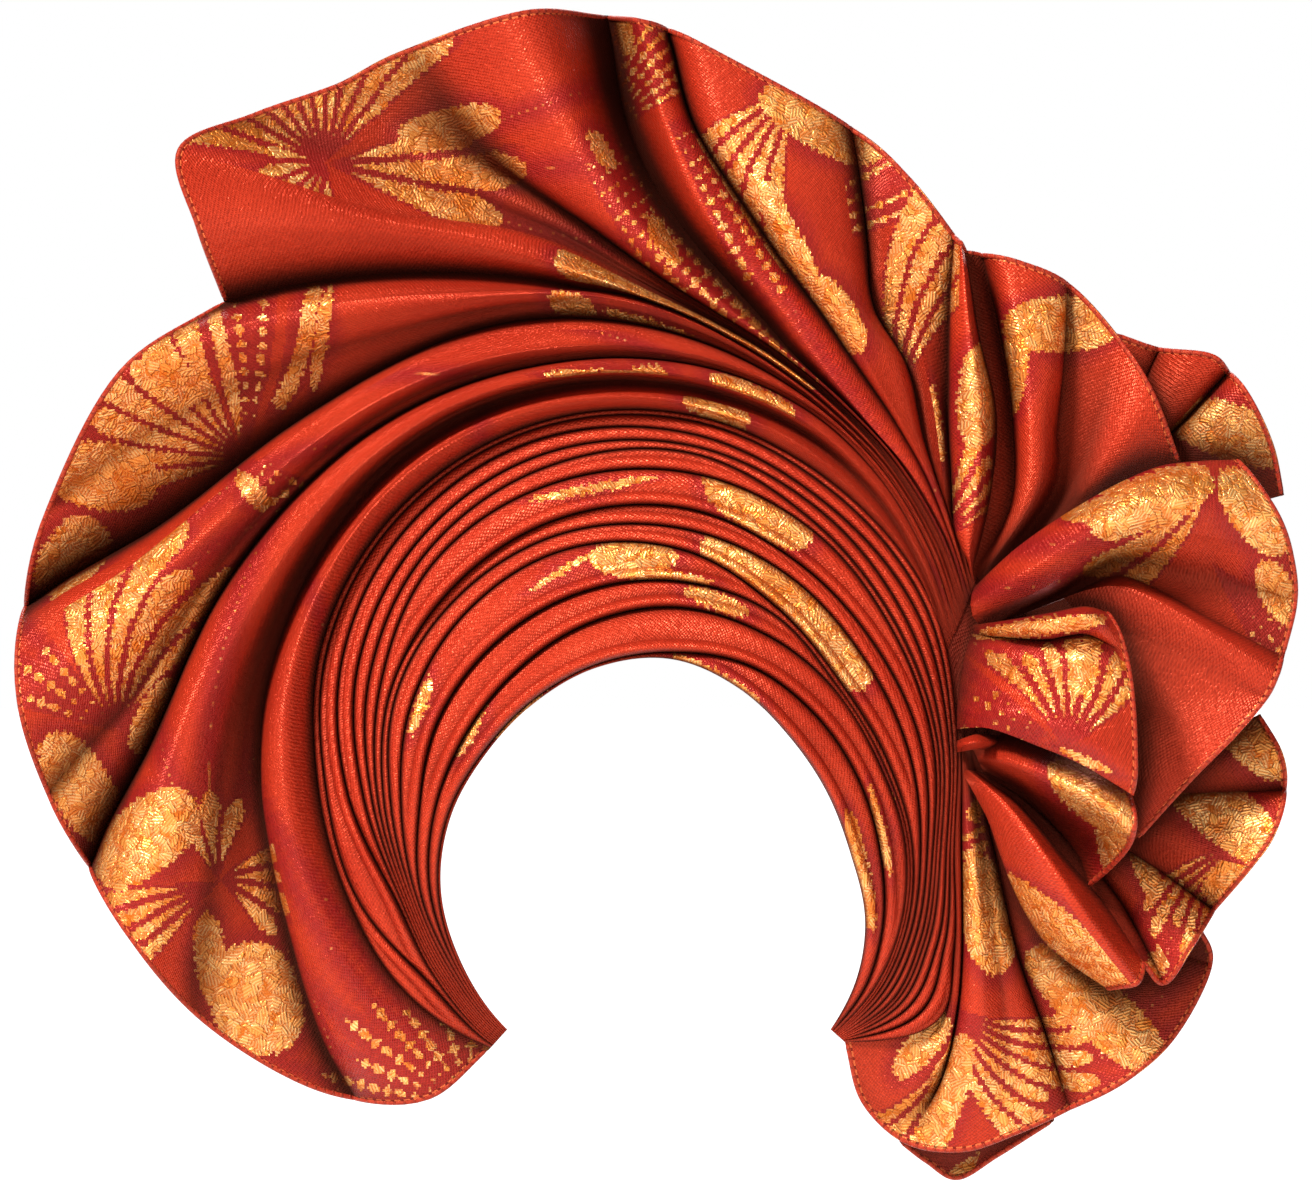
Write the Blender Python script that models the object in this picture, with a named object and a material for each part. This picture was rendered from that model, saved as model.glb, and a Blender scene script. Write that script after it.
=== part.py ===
# A tied head tie: a long satin cloth pleated round the face, fanned out above and gathered into a
# rosette at one side. Metres, +Z up, the front faces -Y, the origin is the middle of the head opening.
import math

import bmesh
import bpy
import numpy as np

# Driving sizes
opening_radius = 0.090      # from the middle of the head opening to its rim
fan_reach = 0.3634          # from the same middle to the highest point of the fan
rosette_reach = 0.1402      # one unit of the rosette's own places
knot_angle = 20.5           # where every fold of the rosette is gathered, in degrees from +X
knot_percent = 18.2         # and in percent of the way from the rim circle to the fan's top
cloth_wall = 0.0018         # the doubled cloth, measured front to back
clearance = 0.0003          # between neighbouring pieces
least_spacing = 0.0008      # between neighbouring fold lines of one sheet
pad_inset = 0.0008          # from the gather pad to the pieces round it
dish_depth = 0.054          # how far the fan leans back from the brow
rim_sweep = 0.060           # how far the rim runs back from the brow to its two ends
pleat_rise = 0.0058         # the height of a pleat of pleat_width
pleat_width = 0.0085
fold_rise = 0.034           # one unit of the fans' fold heights
rosette_rise = 0.080        # one unit of the rosette's fold heights
hood_back = 0.115           # the rear edge of the plain wrap over the head
hood_wall = 0.0016
hood_flare = 0.010          # how much wider the wrap is at its rear edge

brow_angle = 92.0           # the rim's foremost point
half_turn = 136.0           # from there to either end of the rim
first_angle = -42.0
last_angle = 228.0
band_steps = 24
fan_start_step = 7          # the step of the band where the fans spring from the gather

# The pleat lines round the face, from the rim outwards. The columns are angles from +X, and each
# number is the line's distance from the rim circle in percent of the way to the fan's top.
line_angles = (-42, -28, -15, 5, 25, 45, 65, 85, 105, 125, 145, 165, 185, 205, 228)
pleat_lines = (
    ("rim", (4.3, 2.9, 1.1, -2.3, -3.5, -3.4, -1.8, -0.2, -0.5, -1.4, -1.7, -0.9, -0.3, -0.2, 0.6)),
    ("brow_fold", (4.7, 4.7, 3.8, 2.3, 1.8, 1.8, 2.0, 0.9, 0.0, -0.9, -1.2, -0.4, 0.1, 0.3, 0.9)),
    ("second", (5.1, 6.1, 6.4, 6.3, 5.7, 6.6, 7.4, 7.8, 6.3, 4.1, 2.5, 1.7, 1.4, 0.8, 1.2)),
    ("third", (5.3, 6.5, 6.8, 6.8, 6.3, 7.3, 10.7, 11.8, 11.2, 9.5, 7.2, 4.1, 2.9, 1.4, 1.5)),
    ("fourth", (5.5, 6.9, 7.3, 7.3, 7.1, 8.1, 12.0, 16.7, 18.2, 16.1, 12.1, 7.0, 3.8, 2.0, 1.8)),
    ("fifth", (5.7, 7.6, 8.1, 8.6, 10.6, 13.2, 17.0, 19.9, 20.7, 18.7, 14.9, 8.7, 4.4, 2.5, 2.1)),
    ("sixth", (5.9, 8.5, 9.0, 9.7, 12.8, 15.8, 19.6, 23.1, 23.1, 20.4, 16.0, 9.8, 4.9, 2.9, 2.4)),
    ("seventh", (6.1, 9.5, 9.9, 10.6, 14.7, 19.4, 25.0, 28.6, 28.5, 25.2, 17.9, 10.8, 5.4, 3.3, 2.7)),
    ("eighth", (6.3, 10.1, 10.6, 11.2, 15.5, 20.4, 26.2, 31.6, 31.2, 27.2, 20.0, 11.8, 5.9, 3.7, 3.0)),
    ("ninth", (6.5, 10.9, 11.3, 11.8, 16.3, 22.2, 28.2, 32.8, 33.3, 29.4, 22.3, 13.2, 6.4, 4.1, 3.3)),
    ("tenth", (6.7, 12.2, 12.6, 12.7, 17.4, 24.3, 29.7, 34.6, 35.7, 32.1, 25.1, 15.8, 7.3, 4.6, 3.6)),
    ("cheek", (6.9, 14.2, 13.8, 13.3, 18.1, 26.0, 31.8, 36.6, 37.4, 34.2, 27.9, 19.2, 12.9, 6.2, 3.9)),
    ("roll_foot", (7.3, 17.2, 15.4, 13.9, 18.9, 27.2, 32.9, 37.5, 38.2, 35.1, 29.0, 20.5, 14.3, 10.0, 4.5)),
)

# The fans' fold lines, from the gather outwards. Each place is an angle and a percentage as above;
# the two last columns are the height of the fold half way along and at the hem, in fold_rise.
gather_end = (42.3, 33.0)
left_folds = (
    ("first_roll_ridge", (75, 37.2), (112, 40.2), (147, 32.2), (186, 20.2), (226, 16.4), 0.55, 0.35),
    ("first_roll_back", (75, 39.2), (112, 42.3), (147, 34.9), (186, 24.5), (218, 25.4), 0.00, -0.15),
    ("low_flare", (75, 39.8), (112, 43.1), (148, 36.4), (184, 29.6), (209, 32.6), -0.15, 0.10),
    ("second_roll_foot", (75, 40.3), (112, 43.8), (148, 37.8), (180, 34.7), (198, 41.0), -0.10, 0.30),
    ("second_roll_ridge", (75, 41.3), (112, 45.0), (146, 41.2), (172, 42.6), (188, 47.8), 0.75, 0.75),
    ("second_roll_back", (75, 43.0), (112, 47.3), (142, 46.4), (164, 46.6), (180, 54.4), -0.05, -0.65),
    ("middle_flare", (74, 43.4), (111, 48.6), (139, 48.5), (160, 51.0), (173, 61.3), 0.30, 0.10),
    ("third_roll_ridge", (74, 43.9), (110, 50.6), (136, 52.5), (154, 59.0), (165, 68.2), 0.60, 0.75),
    ("third_roll_back", (74, 44.6), (102, 54.0), (126, 55.2), (144, 59.5), (157.5, 72.6), -0.20, -0.75),
    ("high_flare", (73.5, 44.8), (96, 54.8), (117, 59.5), (134, 66.7), (149, 75.9), 0.20, 0.10),
    ("high_flare_ridge", (73, 44.9), (92, 54.8), (108, 60.6), (121, 68.2), (137, 79.2), 0.55, 0.85),
    ("high_flare_edge", (72, 44.9), (88, 52.6), (101, 59.9), (113, 67.1), (127, 76.8), 0.05, 0.25),
)
crest_folds = (
    ("crest_roll_ridge", (73, 46.1), (90, 55.0), (102, 64.0), (113, 74.3), (125.3, 88.1), 0.55, 1.05),
    ("crest_roll_back", (73, 46.5), (89, 55.8), (100, 66.4), (113, 78.2), (123.8, 98.4), 0.10, 1.00),
    ("crest_left_panel", (72.7, 46.7), (88.5, 56.1), (99, 67.2), (110, 81.2), (118, 98.9), 0.00, 0.30),
    ("crest_panel_ridge", (72.4, 46.8), (88, 56.3), (98, 67.6), (107.5, 82.2), (112, 97.8), 0.00, 0.00),
    ("crest_panel_back", (72, 46.9), (87, 56.5), (96.5, 68.4), (104, 82.2), (107, 99.2), -0.10, 0.15),
    ("gold_fold_ridge", (70.5, 46.4), (84, 56.0), (91.5, 67.2), (96, 82.0), (98.5, 100.8), 0.60, 0.65),
    ("deep_valley", (68.5, 45.0), (80, 55.6), (87.7, 67.5), (91.8, 81.9), (93, 99.7), -0.45, -0.85),
)
crest_right_folds = (
    ("narrow_ridge", (66.5, 45.2), (77.5, 56.2), (85, 67.8), (89, 82.1), (91, 98.2), 0.60, 0.65),
    ("thin_valley", (63.8, 47.5), (73, 56.7), (80, 66.6), (86.5, 81.2), (89, 97.0), 0.05, 0.05),
    ("broad_ridge", (60.8, 46.4), (69, 55.0), (74.6, 63.0), (80.8, 74.5), (85, 93.0), 0.70, 0.70),
    ("leaf_valley", (56, 43.6), (63, 54.1), (68.5, 60.5), (71.5, 71.2), (75, 85.8), 0.00, 0.05),
    ("leaf_panel", (52, 40.6), (60, 52.8), (66, 63.6), (69.5, 72.7), (69.5, 80.9), 0.20, 0.45),
    ("end_valley", (47.5, 36.0), (54.6, 46.4), (59, 55.9), (62.3, 66.0), (64.6, 75.6), -0.05, 0.30),
    ("end_ridge", (45.6, 37.0), (51.0, 46.8), (56, 56.5), (60.4, 65.5), (63.9, 75.0), 0.55, 0.60),
    ("end_edge", (44.6, 38.0), (48.5, 46.4), (53, 55.6), (58.5, 64.0), (63.2, 74.4), -0.10, -0.15),
)

# The rosette's fold lines. Each place is sideways and upwards from the knot in rosette_reach; the
# three last columns are the heights at the root, half way and at the hem, in rosette_rise.
lobe_folds = (
    ("lobe_valley", (0.03, 0.530), (0.15, 0.76), (0.15, 1.05), (0.11, 1.30), (0.06, 1.510), 0.00, -0.10, -0.10),
    ("lobe_roll_ridge", (0.05, 0.525), (0.21, 0.78), (0.22, 1.02), (0.20, 1.25), (0.17, 1.485), 0.00, 0.14, 0.10),
    ("lobe_roll_back", (0.07, 0.515), (0.27, 0.79), (0.29, 0.99), (0.31, 1.20), (0.32, 1.420), 0.00, -0.06, -0.05),
    ("lobe_panel", (0.09, 0.505), (0.31, 0.78), (0.39, 0.96), (0.44, 1.12), (0.46, 1.270), 0.00, -0.04, 0.02),
    ("lobe_end_ridge", (0.11, 0.49), (0.36, 0.77), (0.46, 0.91), (0.53, 1.02), (0.57, 1.100), 0.00, 0.10, 0.12),
    ("lobe_edge", (0.13, 0.47), (0.39, 0.71), (0.50, 0.79), (0.59, 0.85), (0.66, 0.880), 0.00, 0.00, 0.02),
)
back_ruffle_folds = (
    ("tip", (0.11, 0.45), (0.34, 0.75), (0.45, 0.93), (0.53, 1.08), (0.60, 1.225), -0.03, -0.14, -0.12),
    ("upper_ridge", (0.14, 0.43), (0.37, 0.73), (0.50, 0.90), (0.63, 1.06), (0.75, 1.205), -0.03, -0.13, 0.02),
    ("upper_valley", (0.17, 0.41), (0.39, 0.70), (0.53, 0.87), (0.67, 1.00), (0.81, 1.155), -0.03, -0.20, -0.16),
    ("gold_ridge", (0.20, 0.39), (0.42, 0.67), (0.57, 0.81), (0.72, 0.93), (0.87, 1.075), -0.03, -0.12, 0.06),
    ("lower_flank", (0.23, 0.37), (0.45, 0.63), (0.62, 0.75), (0.79, 0.84), (0.94, 0.930), -0.03, -0.14, -0.02),
    ("ruffle_edge", (0.26, 0.35), (0.48, 0.59), (0.66, 0.69), (0.83, 0.74), (0.975, 0.780), -0.03, -0.16, -0.10),
)
top_loop_folds = (
    ("loop_back", (0.040, 0.440), (0.16, 0.62), (0.36, 0.755), (0.59, 0.865), (0.83, 0.885), 0.00, 0.30, 0.18),
    ("loop_top", (0.045, 0.430), (0.17, 0.60), (0.38, 0.735), (0.61, 0.835), (0.88, 0.820), 0.00, 0.50, 0.34),
    ("loop_ridge", (0.060, 0.415), (0.21, 0.56), (0.41, 0.690), (0.64, 0.770), (0.95, 0.710), 0.00, 0.62, 0.34),
    ("loop_flank", (0.075, 0.405), (0.26, 0.51), (0.43, 0.620), (0.67, 0.660), (0.99, 0.600), 0.00, 0.52, 0.26),
    ("loop_inside", (0.090, 0.400), (0.29, 0.50), (0.46, 0.580), (0.70, 0.540), (1.005, 0.460), 0.00, 0.28, 0.20),
    ("loop_foot", (0.100, 0.395), (0.31, 0.49), (0.48, 0.535), (0.72, 0.420), (0.965, 0.290), 0.00, 0.24, 0.24),
)
side_panel_folds = (
    ("panel_ridge", (0.30, 0.470), (0.40, 0.500), (0.52, 0.49), (0.75, 0.360), (0.945, 0.235), 0.26, 0.40, 0.38),
    ("panel_face", (0.40, 0.360), (0.48, 0.360), (0.57, 0.33), (0.75, 0.240), (0.910, 0.165), 0.26, 0.34, 0.36),
    ("panel_middle", (0.44, 0.160), (0.50, 0.150), (0.57, 0.13), (0.70, 0.090), (0.820, 0.060), 0.26, 0.32, 0.40),
    ("panel_low", (0.47, -0.08), (0.51, -0.08), (0.55, -0.08), (0.62, -0.07), (0.690, -0.070), 0.26, 0.34, 0.40),
    ("panel_foot", (0.48, -0.255), (0.49, -0.257), (0.50, -0.26), (0.515, -0.255), (0.530, -0.245), 0.28, 0.30, 0.32),
)
centre_folds = (
    ("lip_back", (0.030, 0.388), (0.14, 0.405), (0.27, 0.430), (0.36, 0.445), (0.430, 0.425), 0.00, 0.56, 0.52),
    ("lip_ridge", (0.032, 0.375), (0.14, 0.385), (0.27, 0.408), (0.37, 0.420), (0.458, 0.370), 0.00, 0.86, 0.66),
    ("lip_under", (0.030, 0.360), (0.13, 0.350), (0.25, 0.345), (0.36, 0.360), (0.482, 0.300), 0.00, 0.58, 0.72),
    ("upper_tuck", (0.015, 0.330), (0.11, 0.315), (0.23, 0.305), (0.36, 0.290), (0.496, 0.220), 0.00, 0.66, 0.76),
    ("upper_dip", (0.000, 0.270), (0.10, 0.255), (0.22, 0.245), (0.36, 0.210), (0.505, 0.120), 0.00, 0.56, 0.80),
    ("petal_ridge", (-0.010, 0.200), (0.09, 0.185), (0.21, 0.175), (0.36, 0.120), (0.508, 0.020), 0.00, 0.70, 0.84),
    ("petal_face", (-0.018, 0.130), (0.08, 0.125), (0.21, 0.100), (0.36, 0.040), (0.508, -0.060), 0.00, 0.74, 0.86),
    ("petal_edge", (-0.018, 0.075), (0.07, 0.080), (0.21, 0.030), (0.35, -0.030), (0.500, -0.120), 0.00, 0.66, 0.80),
)
lower_curl_folds = (
    ("curl_back", (0.030, 0.014), (0.12, 0.058), (0.25, 0.045), (0.38, -0.020), (0.490, -0.100), 0.05, 0.26, 0.56),
    ("curl_top", (0.040, -0.005), (0.13, 0.000), (0.26, -0.045), (0.39, -0.100), (0.508, -0.180), 0.06, 0.60, 0.78),
    ("curl_ridge", (0.045, -0.018), (0.14, -0.030), (0.27, -0.090), (0.40, -0.150), (0.505, -0.235), 0.06, 0.64, 0.78),
    ("curl_edge", (0.050, -0.030), (0.15, -0.062), (0.28, -0.135), (0.40, -0.205), (0.488, -0.285), 0.05, 0.46, 0.60),
    ("curl_tail", (0.055, -0.040), (0.16, -0.090), (0.28, -0.180), (0.38, -0.260), (0.440, -0.345), 0.06, 0.26, 0.40),
    ("curl_tip", (0.060, -0.048), (0.17, -0.110), (0.28, -0.220), (0.35, -0.310), (0.380, -0.400), 0.06, 0.14, 0.22),
)
long_ruffle_folds = (
    ("ruffle_back", (0.000, -0.060), (0.075, -0.20), (0.14, -0.38), (0.25, -0.57), (0.440, -0.710), 0.04, 0.20, 0.16),
    ("ruffle_face", (0.005, -0.052), (0.100, -0.18), (0.19, -0.35), (0.30, -0.53), (0.475, -0.702), 0.04, 0.42, 0.34),
    ("ruffle_ridge", (0.012, -0.046), (0.130, -0.15), (0.25, -0.31), (0.37, -0.49), (0.520, -0.692), 0.04, 0.54, 0.44),
    ("ruffle_turn", (0.022, -0.048), (0.150, -0.145), (0.275, -0.30), (0.40, -0.47), (0.540, -0.665), 0.03, 0.36, 0.36),
    ("ruffle_inside", (0.032, -0.050), (0.160, -0.140), (0.290, -0.29), (0.42, -0.44), (0.545, -0.630), 0.03, 0.10, 0.26),
)
outer_ruffle_folds = (
    ("pocket", (0.045, -0.050), (0.18, -0.135), (0.33, -0.27), (0.48, -0.45), (0.610, -0.695), 0.01, 0.10, 0.34),
    ("leaf_ridge", (0.055, -0.050), (0.20, -0.125), (0.37, -0.25), (0.55, -0.42), (0.690, -0.580), 0.01, 0.12, 0.34),
    ("leaf_back", (0.065, -0.048), (0.22, -0.115), (0.40, -0.23), (0.59, -0.35), (0.760, -0.475), 0.01, 0.08, 0.14),
    ("low_gold", (0.075, -0.045), (0.24, -0.100), (0.43, -0.20), (0.63, -0.28), (0.870, -0.340), 0.01, 0.10, 0.26),
    ("bright_ridge", (0.085, -0.040), (0.26, -0.085), (0.46, -0.16), (0.68, -0.20), (0.940, -0.240), 0.00, 0.08, 0.22),
    ("red_dip", (0.095, -0.035), (0.28, -0.070), (0.48, -0.12), (0.71, -0.12), (0.978, -0.110), 0.00, 0.05, 0.04),
    ("upper_gold", (0.105, -0.030), (0.30, -0.050), (0.51, -0.07), (0.74, -0.03), (0.965, 0.000), 0.00, 0.05, 0.12),
    ("upper_edge", (0.115, -0.025), (0.32, -0.030), (0.54, -0.01), (0.77, 0.060), (0.900, 0.120), 0.00, 0.04, 0.02),
)
tail_folds = (
    ("left_fold", (-0.018, 0.070), (-0.012, -0.34), (-0.015, -0.72), (-0.11, -0.97), (-0.300, -1.055), 0.00, 0.08, 0.02),
    ("left_valley", (-0.010, 0.062), (-0.002, -0.34), (-0.005, -0.71), (-0.06, -0.99), (-0.170, -1.180), 0.00, -0.04, 0.06),
    ("gold_ridge", (0.000, 0.054), (0.030, -0.34), (0.045, -0.66), (0.04, -0.93), (0.000, -1.205), 0.00, 0.20, 0.10),
    ("gold_flank", (0.010, 0.046), (0.070, -0.34), (0.11, -0.64), (0.14, -0.88), (0.160, -1.155), 0.00, 0.10, 0.08),
    ("middle_valley", (0.020, 0.038), (0.105, -0.33), (0.17, -0.61), (0.25, -0.83), (0.330, -1.080), 0.00, -0.06, -0.02),
    ("second_ridge", (0.030, 0.030), (0.150, -0.32), (0.25, -0.57), (0.36, -0.77), (0.500, -0.990), 0.00, 0.06, 0.10),
    ("red_flank", (0.040, 0.022), (0.200, -0.29), (0.33, -0.51), (0.47, -0.69), (0.650, -0.855), 0.00, -0.02, 0.02),
    ("hem_corner", (0.050, 0.014), (0.240, -0.25), (0.40, -0.44), (0.56, -0.57), (0.760, -0.640), 0.00, -0.06, -0.08),
    ("tucked_edge", (0.060, 0.006), (0.270, -0.20), (0.43, -0.36), (0.58, -0.48), (0.720, -0.520), 0.00, -0.06, -0.04),
)
tail_under_folds = (
    ("shown_face", (-0.185, -1.170), (-0.10, -1.215), (0.01, -1.230), (0.13, -1.175), (0.285, -1.095), -0.05, -0.06, -0.07),
    ("pointed_hem", (-0.180, -1.182), (-0.10, -1.245), (-0.01, -1.295), (0.11, -1.225), (0.275, -1.118), -0.05, -0.07, -0.07),
)
knot_tuck_folds = (
    ("tuck_back", (-0.018, 0.040), (0.00, 0.048), (0.04, 0.060), (0.09, 0.062), 0.00, 0.22, 0.20),
    ("tuck_ridge", (-0.020, 0.026), (0.00, 0.034), (0.04, 0.044), (0.09, 0.050), 0.03, 0.36, 0.30),
    ("tuck_foot", (-0.018, 0.010), (0.00, 0.018), (0.04, 0.030), (0.09, 0.036), 0.02, 0.24, 0.18),
)

gather_edge = ((0.115, -0.015), (0.34, 0.08), (0.38, 0.26), (0.19, 0.42))

# Each piece's colour, roughness
satin_red = (0.50, 0.045, 0.022)
deep_red = (0.30, 0.018, 0.014)
gold_weave = (0.72, 0.36, 0.10)


def clear_scene():
    for thing in list(bpy.data.objects):
        bpy.data.objects.remove(thing, do_unlink=True)


def satin(name, colour, roughness):
    material = bpy.data.materials.new(name)
    material.use_nodes = True
    shader = material.node_tree.nodes["Principled BSDF"]
    shader.inputs["Base Color"].default_value = (*colour, 1.0)
    shader.inputs["Roughness"].default_value = roughness
    shader.inputs["Metallic"].default_value = 0.0
    return material


def curve_through(knots, places):
    """A smooth curve through knots, read at places from 0 to the number of spans."""
    knots = np.asarray(knots, float)
    before = 2 * knots[0] - knots[1]
    after = 2 * knots[-1] - knots[-2]
    padded = np.vstack([before, knots, after])
    span = np.clip(np.floor(places).astype(int), 0, len(knots) - 2)
    t = (places - span)[:, None]
    a, b, c, d = (padded[span + k] for k in range(4))
    return 0.5 * (2 * b + (c - a) * t + (2 * a - 5 * b + 4 * c - d) * t**2 + (3 * b - a - 3 * c + d) * t**3)


def evenly(knots, count):
    return curve_through(knots, np.linspace(0, len(knots) - 1, count))


def values_at(stations, values, wanted):
    """A smooth line through values at uneven stations, with slopes from their neighbours."""
    stations = np.asarray(stations, float)
    values = np.asarray(values, float)
    slopes = np.gradient(values, stations)
    span = np.clip(np.searchsorted(stations, wanted, side="right") - 1, 0, len(stations) - 2)
    step = stations[span + 1] - stations[span]
    t = (wanted - stations[span]) / step
    rise = values[span] * (2 * t**3 - 3 * t**2 + 1) + values[span + 1] * (3 * t**2 - 2 * t**3)
    lean = slopes[span] * (t**3 - 2 * t**2 + t) + slopes[span + 1] * (t**3 - t**2)
    return rise + lean * step


def radius_of(percent):
    return opening_radius + np.asarray(percent) / 100 * (fan_reach - opening_radius)


def dish(x, z):
    """How far back the cloth's resting surface lies: a shallow dish whose rim sweeps back at its ends."""
    angle = np.degrees(np.arctan2(z, x))
    angle = np.where(angle < brow_angle - 180, angle + 360, angle)
    share = (np.hypot(x, z) - opening_radius) / (fan_reach - opening_radius)
    turn = np.abs(angle - brow_angle) / half_turn
    return rim_sweep * turn**2 * (1 - share) + dish_depth * (2.2 * share - 1.4 * share**2)


def on_dish(x, z, height):
    return np.stack([x, dish(x, z) - height, z], axis=-1)


def polar_places(angle, percent, height):
    radius = radius_of(percent)
    turn = np.radians(angle)
    return on_dish(radius * np.cos(turn), radius * np.sin(turn), height)


def rosette_places(across, up, height):
    knot_radius = radius_of(knot_percent)
    turn = math.radians(knot_angle)
    x = knot_radius * math.cos(turn) + across * rosette_reach
    z = knot_radius * math.sin(turn) + up * rosette_reach
    return on_dish(x, z, height)


def between_heights(root, middle, hem, count):
    """Heights along a fold: a parabola through its root, its middle and its hem."""
    t = np.linspace(0, 1, count)
    return root * (1 - t) * (1 - 2 * t) + middle * 4 * t * (1 - t) + hem * t * (2 * t - 1)


def band_angles():
    return np.linspace(first_angle, last_angle, band_steps + 1)


def band_rows():
    """Each pleat has a foot on its own line, a rolled ridge just outside it and a lower shoulder."""
    angles = band_angles()
    lines = [values_at(line_angles, row[1], angles) for row in pleat_lines]
    rows = []
    for inner, outer in zip(lines, lines[1:]):
        width = (outer - inner) / 100 * (fan_reach - opening_radius)
        height = pleat_rise * np.minimum(width / pleat_width, 1.6)
        rows.append(polar_places(angles, inner, 0 * height))
        rows.append(polar_places(angles, inner + 0.34 * (outer - inner), height))
        rows.append(polar_places(angles, inner + 0.74 * (outer - inner), 0.62 * height))
    rows.append(polar_places(angles, lines[-1], 0 * angles))
    return rows


def fan_rows(first_row, folds, roots):
    """The fan's fold lines, each running from its root in the gather to the hem."""
    count = len(first_row)
    rows = [first_row]
    for root, row in zip(roots, folds):
        *places, middle, hem = row[1:]
        line = evenly([root, *places], count)
        height = fold_rise * between_heights(0.0, middle, hem, count)
        rows.append(polar_places(line[:, 0], line[:, 1], height))
    return kept_in_order(rows)


def rosette_rows(folds, count, seat=0.0):
    """Fold lines of the rosette; a piece that lies on the gather stands off the dish by its seat."""
    rows = []
    for row in folds:
        *places, root, middle, hem = row[1:]
        line = evenly(places, count)
        height = seat + rosette_rise * between_heights(root, middle, hem, count)
        rows.append(rosette_places(line[:, 0], line[:, 1], height))
    return rows


def kept_in_order(rows, side=1):
    """Moves a fold line that comes too near the one before it away from it, seen from the front.

    Side is 1 where the lines follow each other clockwise and -1 where they go the other way.
    """
    rows = [row.copy() for row in rows]
    for before, row in zip(rows, rows[1:]):
        along = np.gradient(before[:, [0, 2]], axis=0)
        along /= np.linalg.norm(along, axis=1, keepdims=True)
        onward = side * np.stack([along[:, 1], -along[:, 0]], axis=1)
        apart = ((row - before)[:, [0, 2]] * onward).sum(axis=1)
        short = np.maximum(least_spacing - apart, 0)
        row[:, 0] += short * onward[:, 0]
        row[:, 2] += short * onward[:, 1]
    return rows


def rounded_across(rows, per_span):
    """More rows between the fold lines: straight across from the front, rounded in depth."""
    rows = np.array(rows)
    spans = len(rows) - 1
    wanted = np.linspace(0, spans, spans * per_span + 1)
    grid = curve_through(rows[:, :, 1], wanted)[:, :, None].repeat(3, axis=2)
    have = np.arange(spans + 1)
    for column in range(rows.shape[1]):
        grid[:, column, 0] = np.interp(wanted, have, rows[:, column, 0])
        grid[:, column, 2] = np.interp(wanted, have, rows[:, column, 2])
    return grid


def finer_along(row, times):
    """The same broken line with more points on its straight stretches."""
    wanted = np.linspace(0, len(row) - 1, (len(row) - 1) * times + 1)
    have = np.arange(len(row))
    return np.stack([np.interp(wanted, have, row[:, k]) for k in range(3)], axis=-1)


def finer_across(first, last, spans=2):
    """A patch between two lines, drawn in from both and from the pieces beside their ends."""
    share = np.linspace(0, 1, spans + 1)[:, None, None]
    grid = first + (last - first) * share
    middle = grid.mean(axis=(0, 1))
    away = (grid - middle)[..., [0, 2]]
    reach = np.linalg.norm(away, axis=-1, keepdims=True)
    away *= 1 - pad_inset / reach.clip(pad_inset)
    x = middle[0] + away[..., 0]
    z = middle[2] + away[..., 1]
    return on_dish(x, z, 0 * x)


def shrink_edges(grid, first, last):
    """Draws the first and the last row inwards by half the clearance, level with the fold."""
    grid = grid.copy()
    for wanted, edge, inside in ((first, 0, 1), (last, -1, -2)):
        if not wanted:
            continue
        way = grid[inside] - grid[edge]
        way[:, 1] = 0
        length = np.linalg.norm(way, axis=1, keepdims=True)
        grid[edge] += way / length * np.minimum(clearance / 2, 0.4 * length)
    return grid


def sheet(name, grid, material, wall=cloth_wall, way=(0, 1, 0)):
    """A closed wall: the grid is its front, and its back is the same grid moved along way."""
    rows, columns = grid.shape[:2]
    front = grid.reshape(-1, 3)
    back = front + wall * np.asarray(way, float).reshape(-1, 3)
    size = rows * columns
    mesh = bmesh.new()
    points = [mesh.verts.new(place) for place in np.vstack([front, back])]

    def face(*corners):
        mesh.faces.new([points[corner] for corner in corners])

    for r in range(rows - 1):
        for c in range(columns - 1):
            a, b = r * columns + c, r * columns + c + 1
            d, e = a + columns, b + columns
            face(a, b, e, d)
            face(size + a, size + d, size + e, size + b)
    edge = [c for c in range(columns)]
    edge += [r * columns + columns - 1 for r in range(1, rows)]
    edge += [(rows - 1) * columns + c for c in range(columns - 2, -1, -1)]
    edge += [r * columns for r in range(rows - 2, 0, -1)]
    for a, b in zip(edge, edge[1:] + edge[:1]):
        face(b, a, size + a, size + b)
    bmesh.ops.triangulate(mesh, faces=mesh.faces[:])
    bmesh.ops.recalc_face_normals(mesh, faces=mesh.faces[:])
    data = bpy.data.meshes.new(name)
    mesh.to_mesh(data)
    mesh.free()
    piece = bpy.data.objects.new(name, data)
    bpy.context.collection.objects.link(piece)
    data.materials.append(material)
    data.shade_smooth()
    data.set_sharp_from_angle(angle=math.radians(50))
    return piece


def behind(row, wall=cloth_wall):
    """A line that lies on the back of the wall at row, with the clearance between."""
    return row + np.array([0, wall + clearance, 0])


def crown_wrap_grid(rim_row):
    """A plain wrap over the head, from the back of the rim to its own rear edge, open behind."""
    angles = band_angles()
    radius = np.hypot(rim_row[:, 0], rim_row[:, 2]) + hood_wall
    turn = np.radians(angles)
    outer = radius + hood_wall
    front = dish(outer * np.cos(turn), outer * np.sin(turn)) + cloth_wall + 2 * clearance
    rows = []
    for share in (0.0, 0.25, 0.5, 0.75, 1.0):
        wider = radius + hood_flare * math.sin(share * math.pi / 2)
        depth = front + (hood_back - front) * share
        rows.append(np.stack([wider * np.cos(turn), depth, wider * np.sin(turn)], axis=-1))
    outward = np.stack([np.cos(turn), 0 * turn, np.sin(turn)], axis=-1)
    return np.array(rows), np.tile(outward, (len(rows), 1))


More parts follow.
